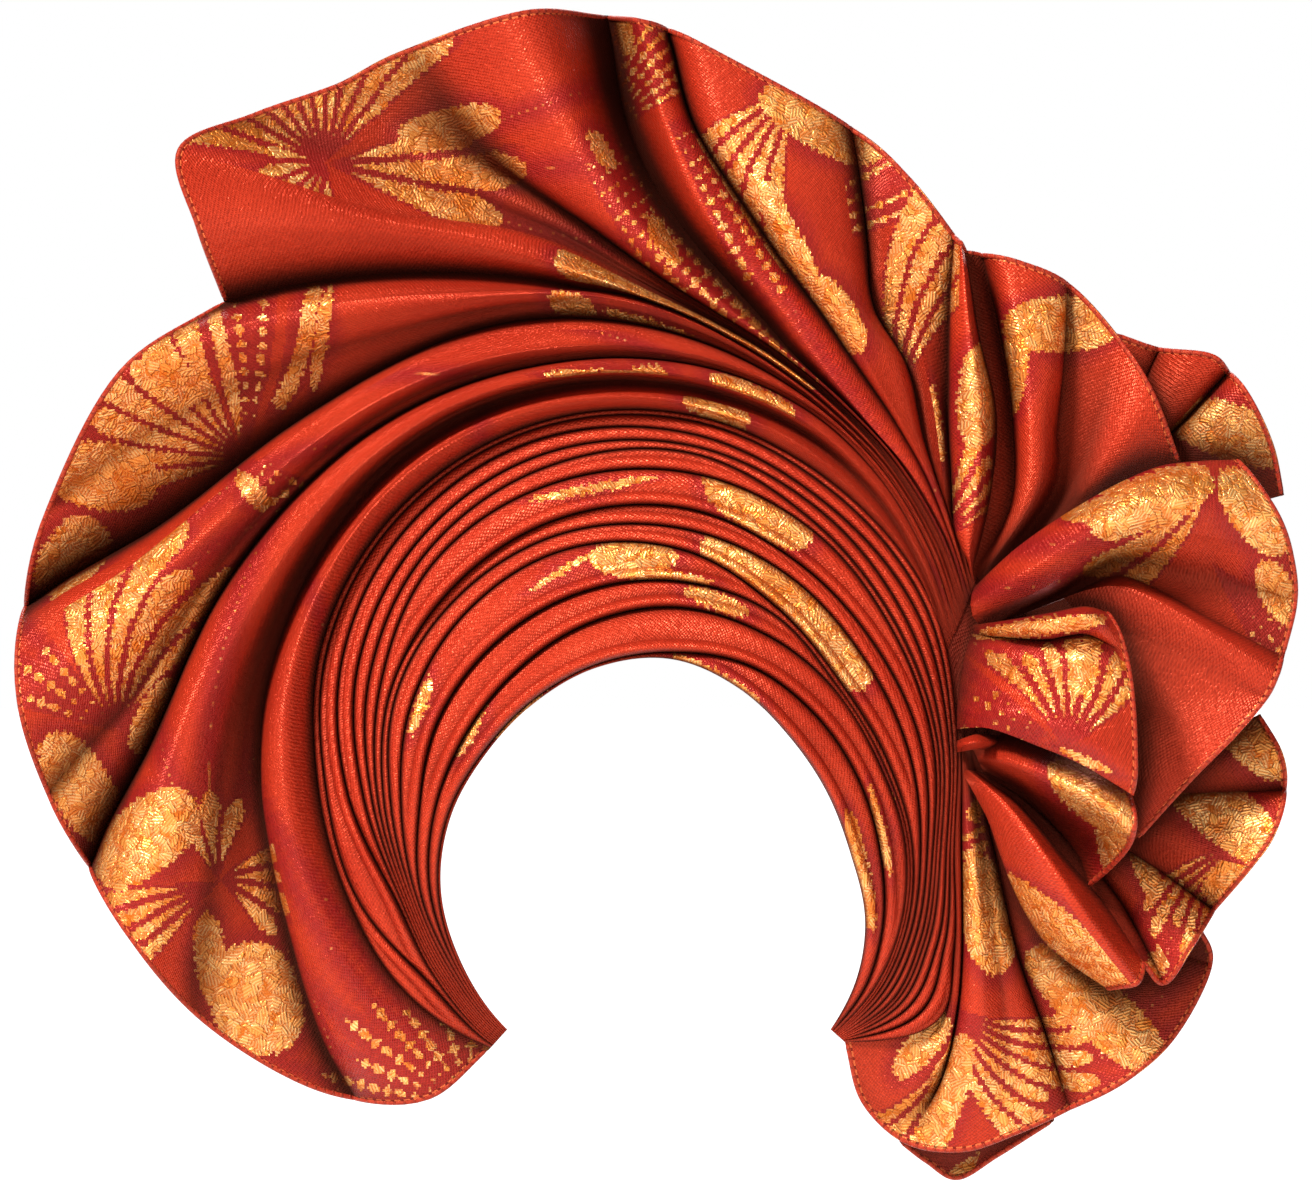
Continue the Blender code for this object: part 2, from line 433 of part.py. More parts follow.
def main():
    clear_scene()
    band = band_rows()
    sheet("pleated_band", shrink_edges(np.array(band), False, True), satin("band_satin", satin_red, 0.42))

    roll_foot = band[-1]
    fan_first = roll_foot[fan_start_step:]
    start_angle = band_angles()[fan_start_step]
    start_percent = values_at(line_angles, pleat_lines[-1][1], np.array([start_angle]))[0]
    fold_count = len(left_folds) + len(crest_folds) + len(crest_right_folds)
    roots = evenly([(start_angle, start_percent), gather_end], fold_count + 1)[1:]

    left = fan_rows(fan_first, left_folds, roots)
    crest_from = len(left_folds)
    crest = fan_rows(left[-1], crest_folds, roots[crest_from:])
    right_from = crest_from + len(crest_folds)
    crest_right = fan_rows(crest[-1], crest_right_folds, roots[right_from:])
    fan_red = satin("fan_satin", satin_red, 0.40)
    sheet("left_fan", shrink_edges(rounded_across(left, 2), True, True), fan_red)
    sheet("crest_fan", shrink_edges(rounded_across(crest, 2), True, True), satin("crest_satin", satin_red, 0.38))
    right_grid = rounded_across(crest_right, 2)
    sheet("crest_overlap", shrink_edges(right_grid, True, True), satin("overlap_satin", satin_red, 0.38))

    count = len(fan_first)
    lobe = [crest_right[-1], *rosette_rows(lobe_folds, count)]
    lobe = kept_in_order(lobe)
    sheet("right_lobe", shrink_edges(rounded_across(lobe, 1), True, False), satin("lobe_satin", deep_red, 0.42))
    ruffle = [behind(lobe[4]), *rosette_rows(back_ruffle_folds, count)]
    sheet("back_ruffle", np.array(ruffle)[:, ::2], satin("ruffle_satin", gold_weave, 0.45))

    steps = 9
    seat = cloth_wall + clearance
    loop = rosette_rows(top_loop_folds, steps, seat)
    sheet("top_loop", shrink_edges(rounded_across(loop, 2), False, True), satin("loop_satin", gold_weave, 0.42))
    panel = [loop[-1], *rosette_rows(side_panel_folds, steps, seat)]
    sheet("side_panel", shrink_edges(rounded_across(panel, 2), True, False), satin("panel_satin", satin_red, 0.40))
    centre = rosette_rows(centre_folds, steps, seat)
    sheet("centre_petal", rounded_across(centre, 2), satin("petal_satin", gold_weave, 0.42))
    curl = rosette_rows(lower_curl_folds, steps, seat)
    sheet("lower_curl", rounded_across(curl, 1), satin("curl_satin", gold_weave, 0.42))
    knot = rosette_rows(knot_tuck_folds, 5, seat)
    sheet("knot_tuck", rounded_across(knot, 1), satin("knot_satin", satin_red, 0.40))
    long_ruffle = rosette_rows(long_ruffle_folds, steps, seat)
    long_grid = shrink_edges(rounded_across(long_ruffle, 2), False, True)
    sheet("long_ruffle", long_grid, satin("long_satin", satin_red, 0.40))
    outer = [long_ruffle[-1], *rosette_rows(outer_ruffle_folds, steps, seat)]
    sheet("outer_ruffle", shrink_edges(rounded_across(outer, 1), True, False), satin("outer_satin", gold_weave, 0.42))

    tail_first = finer_along(roll_foot[fan_start_step - 1::-1], 2)
    tail = kept_in_order([tail_first, *rosette_rows(tail_folds, len(tail_first))], -1)
    sheet("tail_fan", shrink_edges(rounded_across(tail, 1), True, False), satin("tail_satin", gold_weave, 0.44))
    hidden_top = behind(np.array(tail)[1:6, -3])
    under = [hidden_top, *rosette_rows(tail_under_folds, len(hidden_top))]
    sheet("tail_under", rounded_across(under, 1), satin("under_satin", deep_red, 0.46))

    fan_roots = [rows[-1][0] for rows in (left, crest, crest_right)]
    cheek_side = [*roll_foot[fan_start_step - 1:fan_start_step + 1], *fan_roots]
    rosette_side = rosette_rows((("gather_edge", *gather_edge, 0.0, 0.0, 0.0),), len(cheek_side))[0]
    gather = finer_across(np.array(cheek_side), rosette_side)
    sheet("gather_pad", gather, satin("gather_satin", deep_red, 0.46))

    hood, outward = crown_wrap_grid(band[0])
    sheet("crown_wrap", hood, satin("wrap_satin", deep_red, 0.46), hood_wall, outward)


main()
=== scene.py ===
# A tied head tie of red and gold brocade satin: pleats round the face, a wide fan above, a rosette at one side
import math
import bpy
import numpy as np
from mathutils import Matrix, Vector


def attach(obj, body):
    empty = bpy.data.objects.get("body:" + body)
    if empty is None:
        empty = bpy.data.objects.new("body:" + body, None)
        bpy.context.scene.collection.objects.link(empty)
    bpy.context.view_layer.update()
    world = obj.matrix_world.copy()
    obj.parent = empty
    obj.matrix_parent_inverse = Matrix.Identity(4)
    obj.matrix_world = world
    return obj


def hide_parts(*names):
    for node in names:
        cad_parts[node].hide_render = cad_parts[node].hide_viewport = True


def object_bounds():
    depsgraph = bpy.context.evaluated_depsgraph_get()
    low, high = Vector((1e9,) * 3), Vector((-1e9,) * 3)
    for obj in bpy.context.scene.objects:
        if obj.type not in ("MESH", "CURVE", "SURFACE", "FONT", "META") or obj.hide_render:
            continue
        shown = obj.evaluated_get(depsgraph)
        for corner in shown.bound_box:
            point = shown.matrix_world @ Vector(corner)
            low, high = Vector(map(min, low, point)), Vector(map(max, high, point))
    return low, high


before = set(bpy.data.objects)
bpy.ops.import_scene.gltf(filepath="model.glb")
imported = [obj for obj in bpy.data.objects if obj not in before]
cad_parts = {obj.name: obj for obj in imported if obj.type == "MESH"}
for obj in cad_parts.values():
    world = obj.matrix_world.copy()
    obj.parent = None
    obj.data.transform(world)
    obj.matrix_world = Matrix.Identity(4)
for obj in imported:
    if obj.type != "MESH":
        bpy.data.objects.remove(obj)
cadBox = [list(corner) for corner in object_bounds()]
print("frame loaded:", len(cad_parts), "nodes")

# sizes that every piece shares, in metres
shared = {
    "openingRadius": 0.090,
    "fanReach": 0.3634,
    "rosetteReach": 0.1402,
    "knotAngle": 20.5,
    "knotPercent": 18.2,
    "clothWall": 0.0014,
    "seat": 0.0021,             # rosette pieces stand this far off the fan's roots
    "leastSpacing": 0.0008,
    "dishDepth": 0.054,
    "rimSweep": 0.060,
    "browAngle": 92.0,
    "halfTurn": 136.0,
    "firstAngle": -42.0,
    "lastAngle": 228.0,
    "fanStartAngle": 36.75,
    "tailStartAngle": 25.5,
    "foldRise": 0.034,
    "rosetteRise": 0.080,
    "valleyGrip": 1.9,          # how tightly the cloth closes on a valley, 1 is not at all
}


# curves and places
def cubicIn(knots, span, t):
    # Catmull-Rom: each span is a cubic through its two knots, with slopes from the knots around them
    padded = np.concatenate([2 * knots[:1] - knots[1:2], knots, 2 * knots[-1:] - knots[-2:-1]])
    a, b, c, d = (padded[span + k] for k in range(4))
    return 0.5 * (2 * b + (c - a) * t + (2 * a - 5 * b + 4 * c - d) * t**2 + (3 * b - a - 3 * c + d) * t**3)


def curveThrough(knots, places):
    knots = np.asarray(knots, float)
    span = np.clip(np.floor(places).astype(int), 0, len(knots) - 2)
    return cubicIn(knots, span, (places - span).reshape(-1, *[1] * (knots.ndim - 1)))


def evenly(knots, count):
    return curveThrough(knots, np.linspace(0, len(knots) - 1, count))


def valuesAt(stations, values, wanted):
    # a cubic in each span, whose slopes come from the neighbouring stations
    stations, values = np.asarray(stations, float), np.asarray(values, float)
    slopes = np.gradient(values, stations)
    span = np.clip(np.searchsorted(stations, wanted, side="right") - 1, 0, len(stations) - 2)
    step = stations[span + 1] - stations[span]
    t = (wanted - stations[span]) / step
    rise = values[span] * (2 * t**3 - 3 * t**2 + 1) + values[span + 1] * (3 * t**2 - 2 * t**3)
    return rise + step * (slopes[span] * (t**3 - 2 * t**2 + t) + slopes[span + 1] * (t**3 - t**2))


def radiusOf(percent):
    return shared["openingRadius"] + np.asarray(percent) / 100 * (shared["fanReach"] - shared["openingRadius"])


def dish(x, z):
    # depth = sweep * turn^2 * (1 - share) + dish * (2.2 share - 1.4 share^2), share being the way out to the fan's top
    angle = np.degrees(np.arctan2(z, x))
    angle = np.where(angle < shared["browAngle"] - 180, angle + 360, angle)
    share = (np.hypot(x, z) - shared["openingRadius"]) / (shared["fanReach"] - shared["openingRadius"])
    turn = np.abs(angle - shared["browAngle"]) / shared["halfTurn"]
    return shared["rimSweep"] * turn**2 * (1 - share) + shared["dishDepth"] * (2.2 * share - 1.4 * share**2)


def onDish(x, z, height):
    return np.stack([x, dish(x, z) - height, z], axis=-1)


def polarPlaces(angle, percent, height):
    radius, turn = radiusOf(percent), np.radians(angle)
    return onDish(radius * np.cos(turn), radius * np.sin(turn), height)


def rosettePlaces(across, up, height):
    reach, radius, turn = shared["rosetteReach"], radiusOf(shared["knotPercent"]), math.radians(shared["knotAngle"])
    return onDish(radius * math.cos(turn) + across * reach, radius * math.sin(turn) + up * reach, height)


def betweenHeights(root, middle, hem, count):
    # the parabola through the root's, the middle's and the hem's height
    t = np.linspace(0, 1, count)
    return root * (1 - t) * (1 - 2 * t) + middle * 4 * t * (1 - t) + hem * t * (2 * t - 1)


def fanRows(firstRow, folds, roots):
    rows = [firstRow]
    for root, row in zip(roots, folds):
        line = evenly([root, *row[1:-2]], len(firstRow))
        height = shared["foldRise"] * betweenHeights(0.0, row[-2], row[-1], len(firstRow))
        rows.append(polarPlaces(line[:, 0], line[:, 1], height))
    return keptInOrder(rows)


def rosetteRows(folds, count, seat=0.0):
    rows = []
    for row in folds:
        line = evenly(row[1:-3], count)
        height = seat + shared["rosetteRise"] * betweenHeights(*row[-3:], count)
        rows.append(rosettePlaces(line[:, 0], line[:, 1], height))
    return rows


def keptInOrder(rows, side=1):
    # a line that comes too near the one before it is moved off it, square to that line as seen from the front
    rows = [row.copy() for row in rows]
    for before, row in zip(rows, rows[1:]):
        along = np.gradient(before[:, [0, 2]], axis=0)
        along /= np.linalg.norm(along, axis=1, keepdims=True)
        onward = side * np.stack([along[:, 1], -along[:, 0]], axis=1)
        short = np.maximum(shared["leastSpacing"] - ((row - before)[:, [0, 2]] * onward).sum(axis=1), 0)
        row[:, 0] += short * onward[:, 0]
        row[:, 2] += short * onward[:, 1]
    return rows


def clothBetween(rows, perSpan, along, straight=0.35):
    # depth is a smooth curve across the fold lines; sideways the cloth crowds into each valley: share^grip from the
    # valley. Seen from the front it goes straight across near the root and bends smoothly towards the hem.
    rows = evenly(np.array(rows).transpose(1, 0, 2), along).transpose(1, 0, 2)
    height = dish(rows[..., 0], rows[..., 2]) - rows[..., 1]
    beyond = np.concatenate([height[:1] - 1, height, height[-1:] - 1])
    below = np.minimum(beyond[:-2], beyond[2:]) - height
    valley = np.clip(below / 0.0025, 0, 1)
    spans = len(rows) - 1
    wanted = np.linspace(0, spans, spans * perSpan + 1)
    span = np.clip(np.floor(wanted).astype(int), 0, spans - 1)
    t = (wanted - span)[:, None]
    grip = shared["valleyGrip"]
    first, last = valley[span], valley[span + 1]
    crowd = np.maximum(first + last, 1)
    share = t + first / crowd * (t**grip - t) + last / crowd * (1 - (1 - t)**grip - t)
    grid = curveThrough(rows, wanted)
    climb, fall = np.sin(t * math.pi / 2), 1 - np.cos(t * math.pi / 2)
    smooth = dish(grid[..., 0], grid[..., 2]) - grid[..., 1]
    start, end = height[span], height[span + 1]
    gap = np.linalg.norm(np.diff(rows[..., [0, 2]], axis=0), axis=-1)[span]
    steep = np.clip((np.abs(end - start) / np.maximum(gap, 1e-4) - 0.3) / 0.4, 0, 1)
    rising, falling = first * (1 - last) * steep * (end > start), last * (1 - first) * steep * (start > end)
    lifted = smooth + rising * (start + (end - start) * climb - smooth)
    lifted += falling * (start + (end - start) * fall - smooth)
    bent = cubicIn(rows, span, share[..., None])
    direct = rows[span] + share[..., None] * (rows[span + 1] - rows[span])
    ease = np.clip((np.linspace(0, 1, along) - straight) / (1 - straight), 0, 1)[None, :, None]
    for axis in (0, 2):
        grid[..., axis] = (direct + ease**1.5 * (bent - direct))[..., axis]
    return onDish(grid[..., 0], grid[..., 2], lifted)


def softCreases(grid, look):
    # faint creases that run with the folds: sines of the across share, bent along the way, strongest at look["at"]
    rows, columns = grid.shape[:2]
    across = np.linspace(0, 1, rows)[:, None]
    along = np.linspace(0, 1, columns)[None, :]
    phase = look["seed"] + 2.3 * np.sin(2.1 * along * math.pi + look["seed"])
    turn = 2 * math.pi * look["count"] * across
    wave = np.sin(turn + phase) + 0.6 * np.sin(1.7 * turn - 1.4 * phase)
    nearEdge = np.clip(8 * across, 0, 1) * np.clip(8 * (1 - across), 0, 1)
    envelope = np.exp(-((along - look["at"]) / look["width"])**2) * nearEdge
    grid = grid.copy()
    grid[..., 1] += look["height"] * wave * envelope
    return grid


# meshes
def runLengths(grid, axis):
    # the length of the way along one axis of the grid, from its first line
    step = np.linalg.norm(np.diff(grid, axis=axis), axis=-1)
    start = np.zeros_like(step[:1]) if axis == 0 else np.zeros_like(step[:, :1])
    return np.concatenate([start, np.cumsum(step, axis=axis)], axis=axis)


def putMesh(name, points, faces, places):
    mesh = bpy.data.meshes.new(name)
    mesh.from_pydata(points.tolist(), [], faces)
    corners = np.empty(len(mesh.loops), np.int32)
    mesh.loops.foreach_get("vertex_index", corners)
    mesh.uv_layers.new(name="cloth").data.foreach_set("uv", places[corners].astype(np.float32).ravel())
    mesh.polygons.foreach_set("use_smooth", np.ones(len(mesh.polygons), bool))
    mesh.set_sharp_from_angle(angle=math.radians(60))
    mesh.update()
    piece = bpy.data.objects.new(name, mesh)
    bpy.context.scene.collection.objects.link(piece)
    return piece


hollows = {
    # painted shade: the rows and ways below set how dark the colour is painted where cloth lies below its neighbours or
    # behind other cloth
    "rows": ((4, 0.0022), (11, 0.006)),      # rows to each side, and the depth below their mean that is darkest
    # the same in metres round a place, over all the cloths, and how much of the light each takes
    "ways": ((0.004, 0.005, 0.45), (0.011, 0.011, 0.60), (0.024, 0.022, 0.68), (0.050, 0.040, 0.72)),
    "cell": 0.001,
    "margin": 0.03,
    # painted shade: the dark line along a pleat's valley is this wide
    "crease": 0.0012,                        # the half width of a pleat's dark line
}
laid = []


def smoothed(values, reach):
    # the mean over reach rows to each side, along the first axis
    padded = np.concatenate([np.repeat(values[:1], reach, axis=0), values, np.repeat(values[-1:], reach, axis=0)])
    total = np.cumsum(np.concatenate([0 * padded[:1], padded]), axis=0)
    return (total[2 * reach + 1:] - total[:-2 * reach - 1]) / (2 * reach + 1)


def finer(grid, axis, times):
    # places on straight lines between neighbours, times as many
    spots = np.linspace(0, grid.shape[axis] - 1, (grid.shape[axis] - 1) * times + 1)
    first = np.clip(np.floor(spots).astype(int), 0, grid.shape[axis] - 2)
    share = (spots - first).reshape([-1 if k == axis else 1 for k in range(3)])
    return np.take(grid, first, axis) * (1 - share) + np.take(grid, first + 1, axis) * share


def around(values, reach):
    # the sum over a square of reach cells to each side
    for axis in (0, 1):
        values = np.pad(values, [(reach + 1, reach) if k == axis else (0, 0) for k in (0, 1)])
        total = np.cumsum(values, axis=axis)
        size = total.shape[axis]
        values = np.take(total, range(2 * reach + 1, size), axis)
        values = values - np.take(total, range(0, size - 2 * reach - 1), axis)
    return values


def shadeHollows():
    # From the front, and from the back, the nearest depth of all the cloths is kept in cells. A place is in a hollow by
    # how far it lies behind the mean of the nearest depths round it, and behind the mean of its neighbour rows.
    # That share is painted shade, kept on each piece as a point attribute that darkens its colour; a crease value,
    # where given, is its least on the front.
    low = np.array([cadBox[0][0], cadBox[0][2]]) - hollows["margin"]
    high = np.array([cadBox[1][0], cadBox[1][2]]) + hollows["margin"]
    shape = tuple(((high - low) / hollows["cell"]).astype(int) + 1)
    shades = {}
    for side in (1, -1):
        nearest = np.full(shape, np.inf)
        for piece, grid, wall, crease in laid:
            fine = finer(finer(grid, 0, 5), 1, 3)
            cell = ((fine[..., [0, 2]] - low) / hollows["cell"]).astype(int)
            depth = side * (fine[..., 1] + (wall if side < 0 else 0))
            np.minimum.at(nearest, (cell[..., 0].ravel(), cell[..., 1].ravel()), depth.ravel())
        known = np.isfinite(nearest)
        filled = np.where(known, nearest, 0.0)
        means = []
        for way, depth, part in hollows["ways"]:
            reach = round(way / hollows["cell"])
            means.append((around(filled, reach) / np.maximum(around(known.astype(float), reach), 1), depth, part))
        for piece, grid, wall, crease in laid:
            cell = tuple(np.moveaxis(((grid[..., [0, 2]] - low) / hollows["cell"]).astype(int), -1, 0))
            own = side * (grid[..., 1] + (wall if side < 0 else 0))
            light = np.ones(own.shape)
            for mean, depth, part in means:
                light *= 1 - part * np.clip((own - mean[cell]) / depth, 0, 1)
            near = sum(np.clip((own - smoothed(own, reach)) / depth, 0, 1) for reach, depth in hollows["rows"]) / 2
            shade = 1 - light * (1 - np.clip(1.2 * near, 0, 1)**1.4)
            if crease is not None and side > 0:
                shade = np.maximum(shade, crease)
            shades.setdefault(piece.name, []).append(shade.ravel())
    for piece, grid, wall, crease in laid:
        values = np.concatenate(shades[piece.name]).astype(np.float32)
        piece.data.attributes.new("paintedShade", "FLOAT", "POINT").data.foreach_set("value", values)


def clothMesh(name, grid, wall, way=(0, 1, 0), hemmed=True, perFold=12):
    # a closed wall: the front grid, the same grid moved along way, and a strip round the edge
    rows, columns = grid.shape[:2]
    index = np.arange(rows * columns).reshape(rows, columns)
    front = np.stack([index[:-1, :-1], index[:-1, 1:], index[1:, 1:], index[1:, :-1]], axis=-1).reshape(-1, 4)
    centre = grid[1:, 1:] - grid[:-1, :-1], grid[1:, :-1] - grid[:-1, 1:]
    away = np.asarray(way, float) * np.ones((rows, columns, 3))
    facing = (np.cross(*centre) * away[:-1, :-1]).sum()
    rim = np.concatenate([index[0, :-1], index[:-1, -1], index[-1, :0:-1], index[:0:-1, 0]])
    edge = np.stack([rim, np.roll(rim, -1)], axis=-1)
    size = rows * columns
    if facing < 0:
        front = front[:, ::-1]
        edge = edge[:, ::-1]
    side = np.concatenate([edge[:, ::-1], edge + size], axis=-1)
    faces = np.concatenate([front[:, ::-1], front + size, side[:, ::-1]])
    points = np.concatenate([grid.reshape(-1, 3), (grid + wall * away).reshape(-1, 3)])
    along = runLengths(grid, 1)
    toHem = along[:, -1:] - along if hemmed else along + 1
    across = np.repeat(runLengths(grid[:, -1:], 0), columns, axis=1)
    if not hemmed:
        across, toHem = along[rows // 2] + 0 * along, runLengths(grid, 0) + 1
    places = np.stack([across, toHem], axis=-1).reshape(-1, 2)
    piece = putMesh(name, points, faces.tolist(), np.concatenate([places, places]))
    number = np.repeat(np.arange(rows)[:, None] / perFold, columns, axis=1).astype(np.float32).ravel()
    piece.data.attributes.new("fold", "FLOAT", "POINT").data.foreach_set("value", np.concatenate([number, number]))
    return piece


def tubeAlong(name, path, halfWide, halfDeep, sides=10):
    # an oval of halfWide by halfDeep carried along path, square to it, narrowing at both ends
    step = np.gradient(path, axis=0)
    step /= np.linalg.norm(step, axis=1, keepdims=True)
    beside = np.cross(step, (0, 1, 0))
    beside /= np.linalg.norm(beside, axis=1, keepdims=True)
    upward = np.cross(beside, step)
    turn = np.linspace(0, 2 * math.pi, sides, endpoint=False)
    length = np.concatenate([[0], np.cumsum(np.linalg.norm(np.diff(path, axis=0), axis=1))])
    taper = np.clip(np.minimum(length, length[-1] - length) / (2 * halfWide), 0.15, 1)**0.5
    ring = beside[:, None] * (halfWide * np.cos(turn))[None, :, None]
    ring = ring + upward[:, None] * (halfDeep * np.sin(turn))[None, :, None]
    points = (path[:, None] + ring * taper[:, None, None]).reshape(-1, 3)
    index = np.arange(len(points)).reshape(len(path), sides)
    after = np.roll(index, -1, axis=1)
    faces = np.stack([index[:-1], after[:-1], after[1:], index[1:]], axis=-1).reshape(-1, 4).tolist()
    faces += [index[0, ::-1].tolist(), index[-1].tolist()]
    places = np.stack([np.tile(turn / (2 * math.pi) * 0.01, len(path)), np.repeat(length, sides)], axis=-1)
    return putMesh(name, points, faces, places)


def layCloth(name, nodes, grid, material, perFold=12, hemmed=True, wall=None, way=(0, 1, 0),
             crease=None):
    # makes the cloth and its rolled hem, hangs both on the root body, and hides the frame's nodes that they stand for
    # crease, where given, is painted shade that the cloth's front gets at least
    wall = wall or shared["clothWall"]
    piece = clothMesh(name, grid, wall, way, hemmed, perFold)
    piece.data.materials.append(material)
    if hemmed:
        inward = grid[:, -2] - grid[:, -1]
        inward /= np.linalg.norm(inward, axis=1, keepdims=True)
        path = grid[:, -1] + 0.0009 * inward + (0, wall / 2, 0)
        hem = tubeAlong(name + "Hem", path, hemRoll["halfWide"], hemRoll["halfDeep"])
        hem.data.materials.append(hemMaterial)
        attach(hem, "root")
    if isinstance(way, tuple):
        laid.append((piece, grid, wall, crease))
    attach(piece, "root")
    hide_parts(*nodes)
    corner = np.cross(grid[1:, :-1] - grid[:-1, :-1], grid[:-1, 1:] - grid[:-1, :-1])
    other = np.cross(grid[1:, :-1] - grid[1:, 1:], grid[:-1, 1:] - grid[1:, 1:])


# materials
class Wire:
    # a shader value: each sum, product or function of it adds a math node
    def __init__(self, tree, socket):
        self.tree, self.socket = tree, socket

    def math(self, operation, *others, last=False):
        values = (*others, self) if last else (self, *others)
        return wireFrom(self.tree, "Math", enumerate(values), operation=operation)

    def __add__(self, other):
        return self.math("ADD", other)

    def __sub__(self, other):
        return self.math("SUBTRACT", other)

    def __rsub__(self, other):
        return self.math("SUBTRACT", other, last=True)

    def __mul__(self, other):
        return self.math("MULTIPLY", other)

    def __truediv__(self, other):
        return self.math("DIVIDE", other)

    def __rtruediv__(self, other):
        return self.math("DIVIDE", other, last=True)


def plug(tree, entry, value):
    # a wire is linked, and a number, vector or colour is set on the entry itself
    if isinstance(value, Wire):
        tree.links.new(value.socket, entry)
    else:
        entry.default_value = (*value, 1.0) if entry.type == "RGBA" else value


def addNode(tree, kind, entries=(), **settings):
    node = tree.nodes.new("ShaderNode" + kind)
    for name, value in settings.items():
        setattr(node, name, value)
    for entry, value in entries:
        plug(tree, node.inputs[entry], value)
    return node


def wireFrom(tree, kind, entries=(), output=0, **settings):
    return Wire(tree, addNode(tree, kind, entries, **settings).outputs[output])


def split(wire, kind="SeparateXYZ"):
    return [Wire(wire.tree, output) for output in addNode(wire.tree, kind, [(0, wire)]).outputs]


def ranged(value, low, high, toLow=0.0, toHigh=1.0, smooth=False):
    # the value's way from low to high, carried over to toLow and toHigh, and clamped
    kind = "SMOOTHSTEP" if smooth else "LINEAR"
    return wireFrom(value.tree, "MapRange", enumerate((value, low, high, toLow, toHigh)), interpolation_type=kind)


def mixColour(tree, factor, first, second, blend="MIX"):
    entries = ((0, factor), (6, first), (7, second))
    return wireFrom(tree, "Mix", entries, 2, data_type="RGBA", blend_type=blend)


def noise(vector, scale, detail=2.0, output=0):
    entries = (("Vector", vector), ("Scale", scale), ("Detail", detail))
    return wireFrom(vector.tree, "TexNoise", entries, output)


def attribute(tree, name):
    return wireFrom(tree, "Attribute", output="Fac", attribute_name=name)


def newMaterial(name):
    material = bpy.data.materials.new(name)
    material.use_nodes = True
    return material, material.node_tree, material.node_tree.nodes["Principled BSDF"].inputs


def makeGroup(name, inputs):
    # an empty node group with a number for each input, its wires, and the entry of its one output
    group = bpy.data.node_groups.new(name, "ShaderNodeTree")
    for label in inputs:
        group.interface.new_socket(name=label, in_out="INPUT", socket_type="NodeSocketFloat")
    group.interface.new_socket(name="inside", in_out="OUTPUT", socket_type="NodeSocketFloat")
    start, end = group.nodes.new("NodeGroupInput"), group.nodes.new("NodeGroupOutput")
    return group, [Wire(group, start.outputs[label]) for label in inputs], end.inputs[0]


leafInputs = ("x", "y", "focusX", "focusY", "facing", "spread", "leaves", "reach", "bend", "start", "gap",
              "thick", "dash")
leafLook = {
    "uneven": 0.12,             # share by which the leaves differ in length
    "tipRound": 0.06,
    "toothPitch": 4.5,
    "toothShare": 0.12,         # of the leaf's half width there,
    "toothMost": 0.8,           # but no more than this
    "toothSlant": 8.0,
    "beadPitch": 14.0,
    "outside": 100.0,           # taken off where there is no leaf or patch
}


def leafGroup():
    # A spray of leaves round a focus. The angle, bent by the radius, is cut into leaves. Inside is how far a place
    # lies within its leaf: the least of half the leaf's width there less half the gap, half the greatest width, and
    # the root of what is left to the tip, each less the way off the leaf's middle line. Teeth are added along the
    # radius, and dash cuts the leaf into beads.
    group, wires, end = makeGroup("leafSpray", leafInputs)
    x, y, focusX, focusY, facing, spread, leaves, reach, bend, start, gap, thick, dash = wires
    dx, dz = x - focusX, focusY - y
    radius = (dx * dx + dz * dz).math("SQRT")
    angle = dz.math("ARCTAN2", dx).math("DEGREES") - facing
    share = (angle + bend * radius).math("WRAP", 180.0, -180.0) / spread
    cell = (share + 1.0) * (leaves / 2.0)
    number = cell.math("FLOOR")
    off = (cell - number - 0.5).math("ABSOLUTE")
    longest = reach * ((number * 2.4).math("SINE") * leafLook["uneven"] + 1.0)
    width = radius * (spread * 2.0 / leaves).math("RADIANS")
    tip = ((longest - radius).math("MAXIMUM", 0.0) * longest * leafLook["tipRound"]).math("SQRT")
    widest = ((width - gap) * 0.5).math("MINIMUM", thick).math("MINIMUM", tip)
    inside = (widest - width * off).math("MINIMUM", radius - start)
    pitch = leafLook["toothPitch"]
    teeth = (radius + off * leafLook["toothSlant"]).math("PINGPONG", pitch) - pitch / 2
    inside += teeth * (widest * leafLook["toothShare"]).math("MINIMUM", leafLook["toothMost"])
    beads = ((radius / leafLook["beadPitch"]).math("FRACT") - 0.5).math("ABSOLUTE") - 0.5
    inside += beads * 2.0 * dash
    outside = share.math("ABSOLUTE").math("GREATER_THAN", 1.0)
    plug(group, end, inside - outside * leafLook["outside"])
    return group


patchInputs = ("x", "y", "centreX", "centreY", "halfLong", "halfWide", "turn", "teeth")
patchLook = {"squareness": 2.4, "toothPitch": 5.0, "toothSize": 0.9}


def patchGroup():
    # An oval patch of solid gold, turned by turn degrees. Inside is the way to its rim from the middle outwards, which
    # is length * (1 / oval - 1), toothed along the rim. oval = (|along / halfLong|^s + |across / halfWide|^s)^(1/s)
    group, wires, end = makeGroup("goldPatch", patchInputs)
    x, y, centreX, centreY, halfLong, halfWide, turn, teeth = wires
    dx, dz = x - centreX, centreY - y
    cosine, sine = turn.math("RADIANS").math("COSINE"), turn.math("RADIANS").math("SINE")
    along, across = dx * cosine + dz * sine, dz * cosine - dx * sine
    power = patchLook["squareness"]
    first, second = (way.math("ABSOLUTE").math("POWER", power) for way in (along / halfLong, across / halfWide))
    oval = (first + second).math("POWER", 1 / power)
    length = (dx * dx + dz * dz).math("SQRT")
    inside = (length + 0.5) * (1.0 / oval.math("MAXIMUM", 0.05) - 1.0)
    tooth = (along + across).math("PINGPONG", patchLook["toothPitch"]) - patchLook["toothPitch"] / 2
    plug(group, end, inside + tooth * (teeth * patchLook["toothSize"]))
    return group


goldLeaves, goldPatches = leafGroup(), patchGroup()

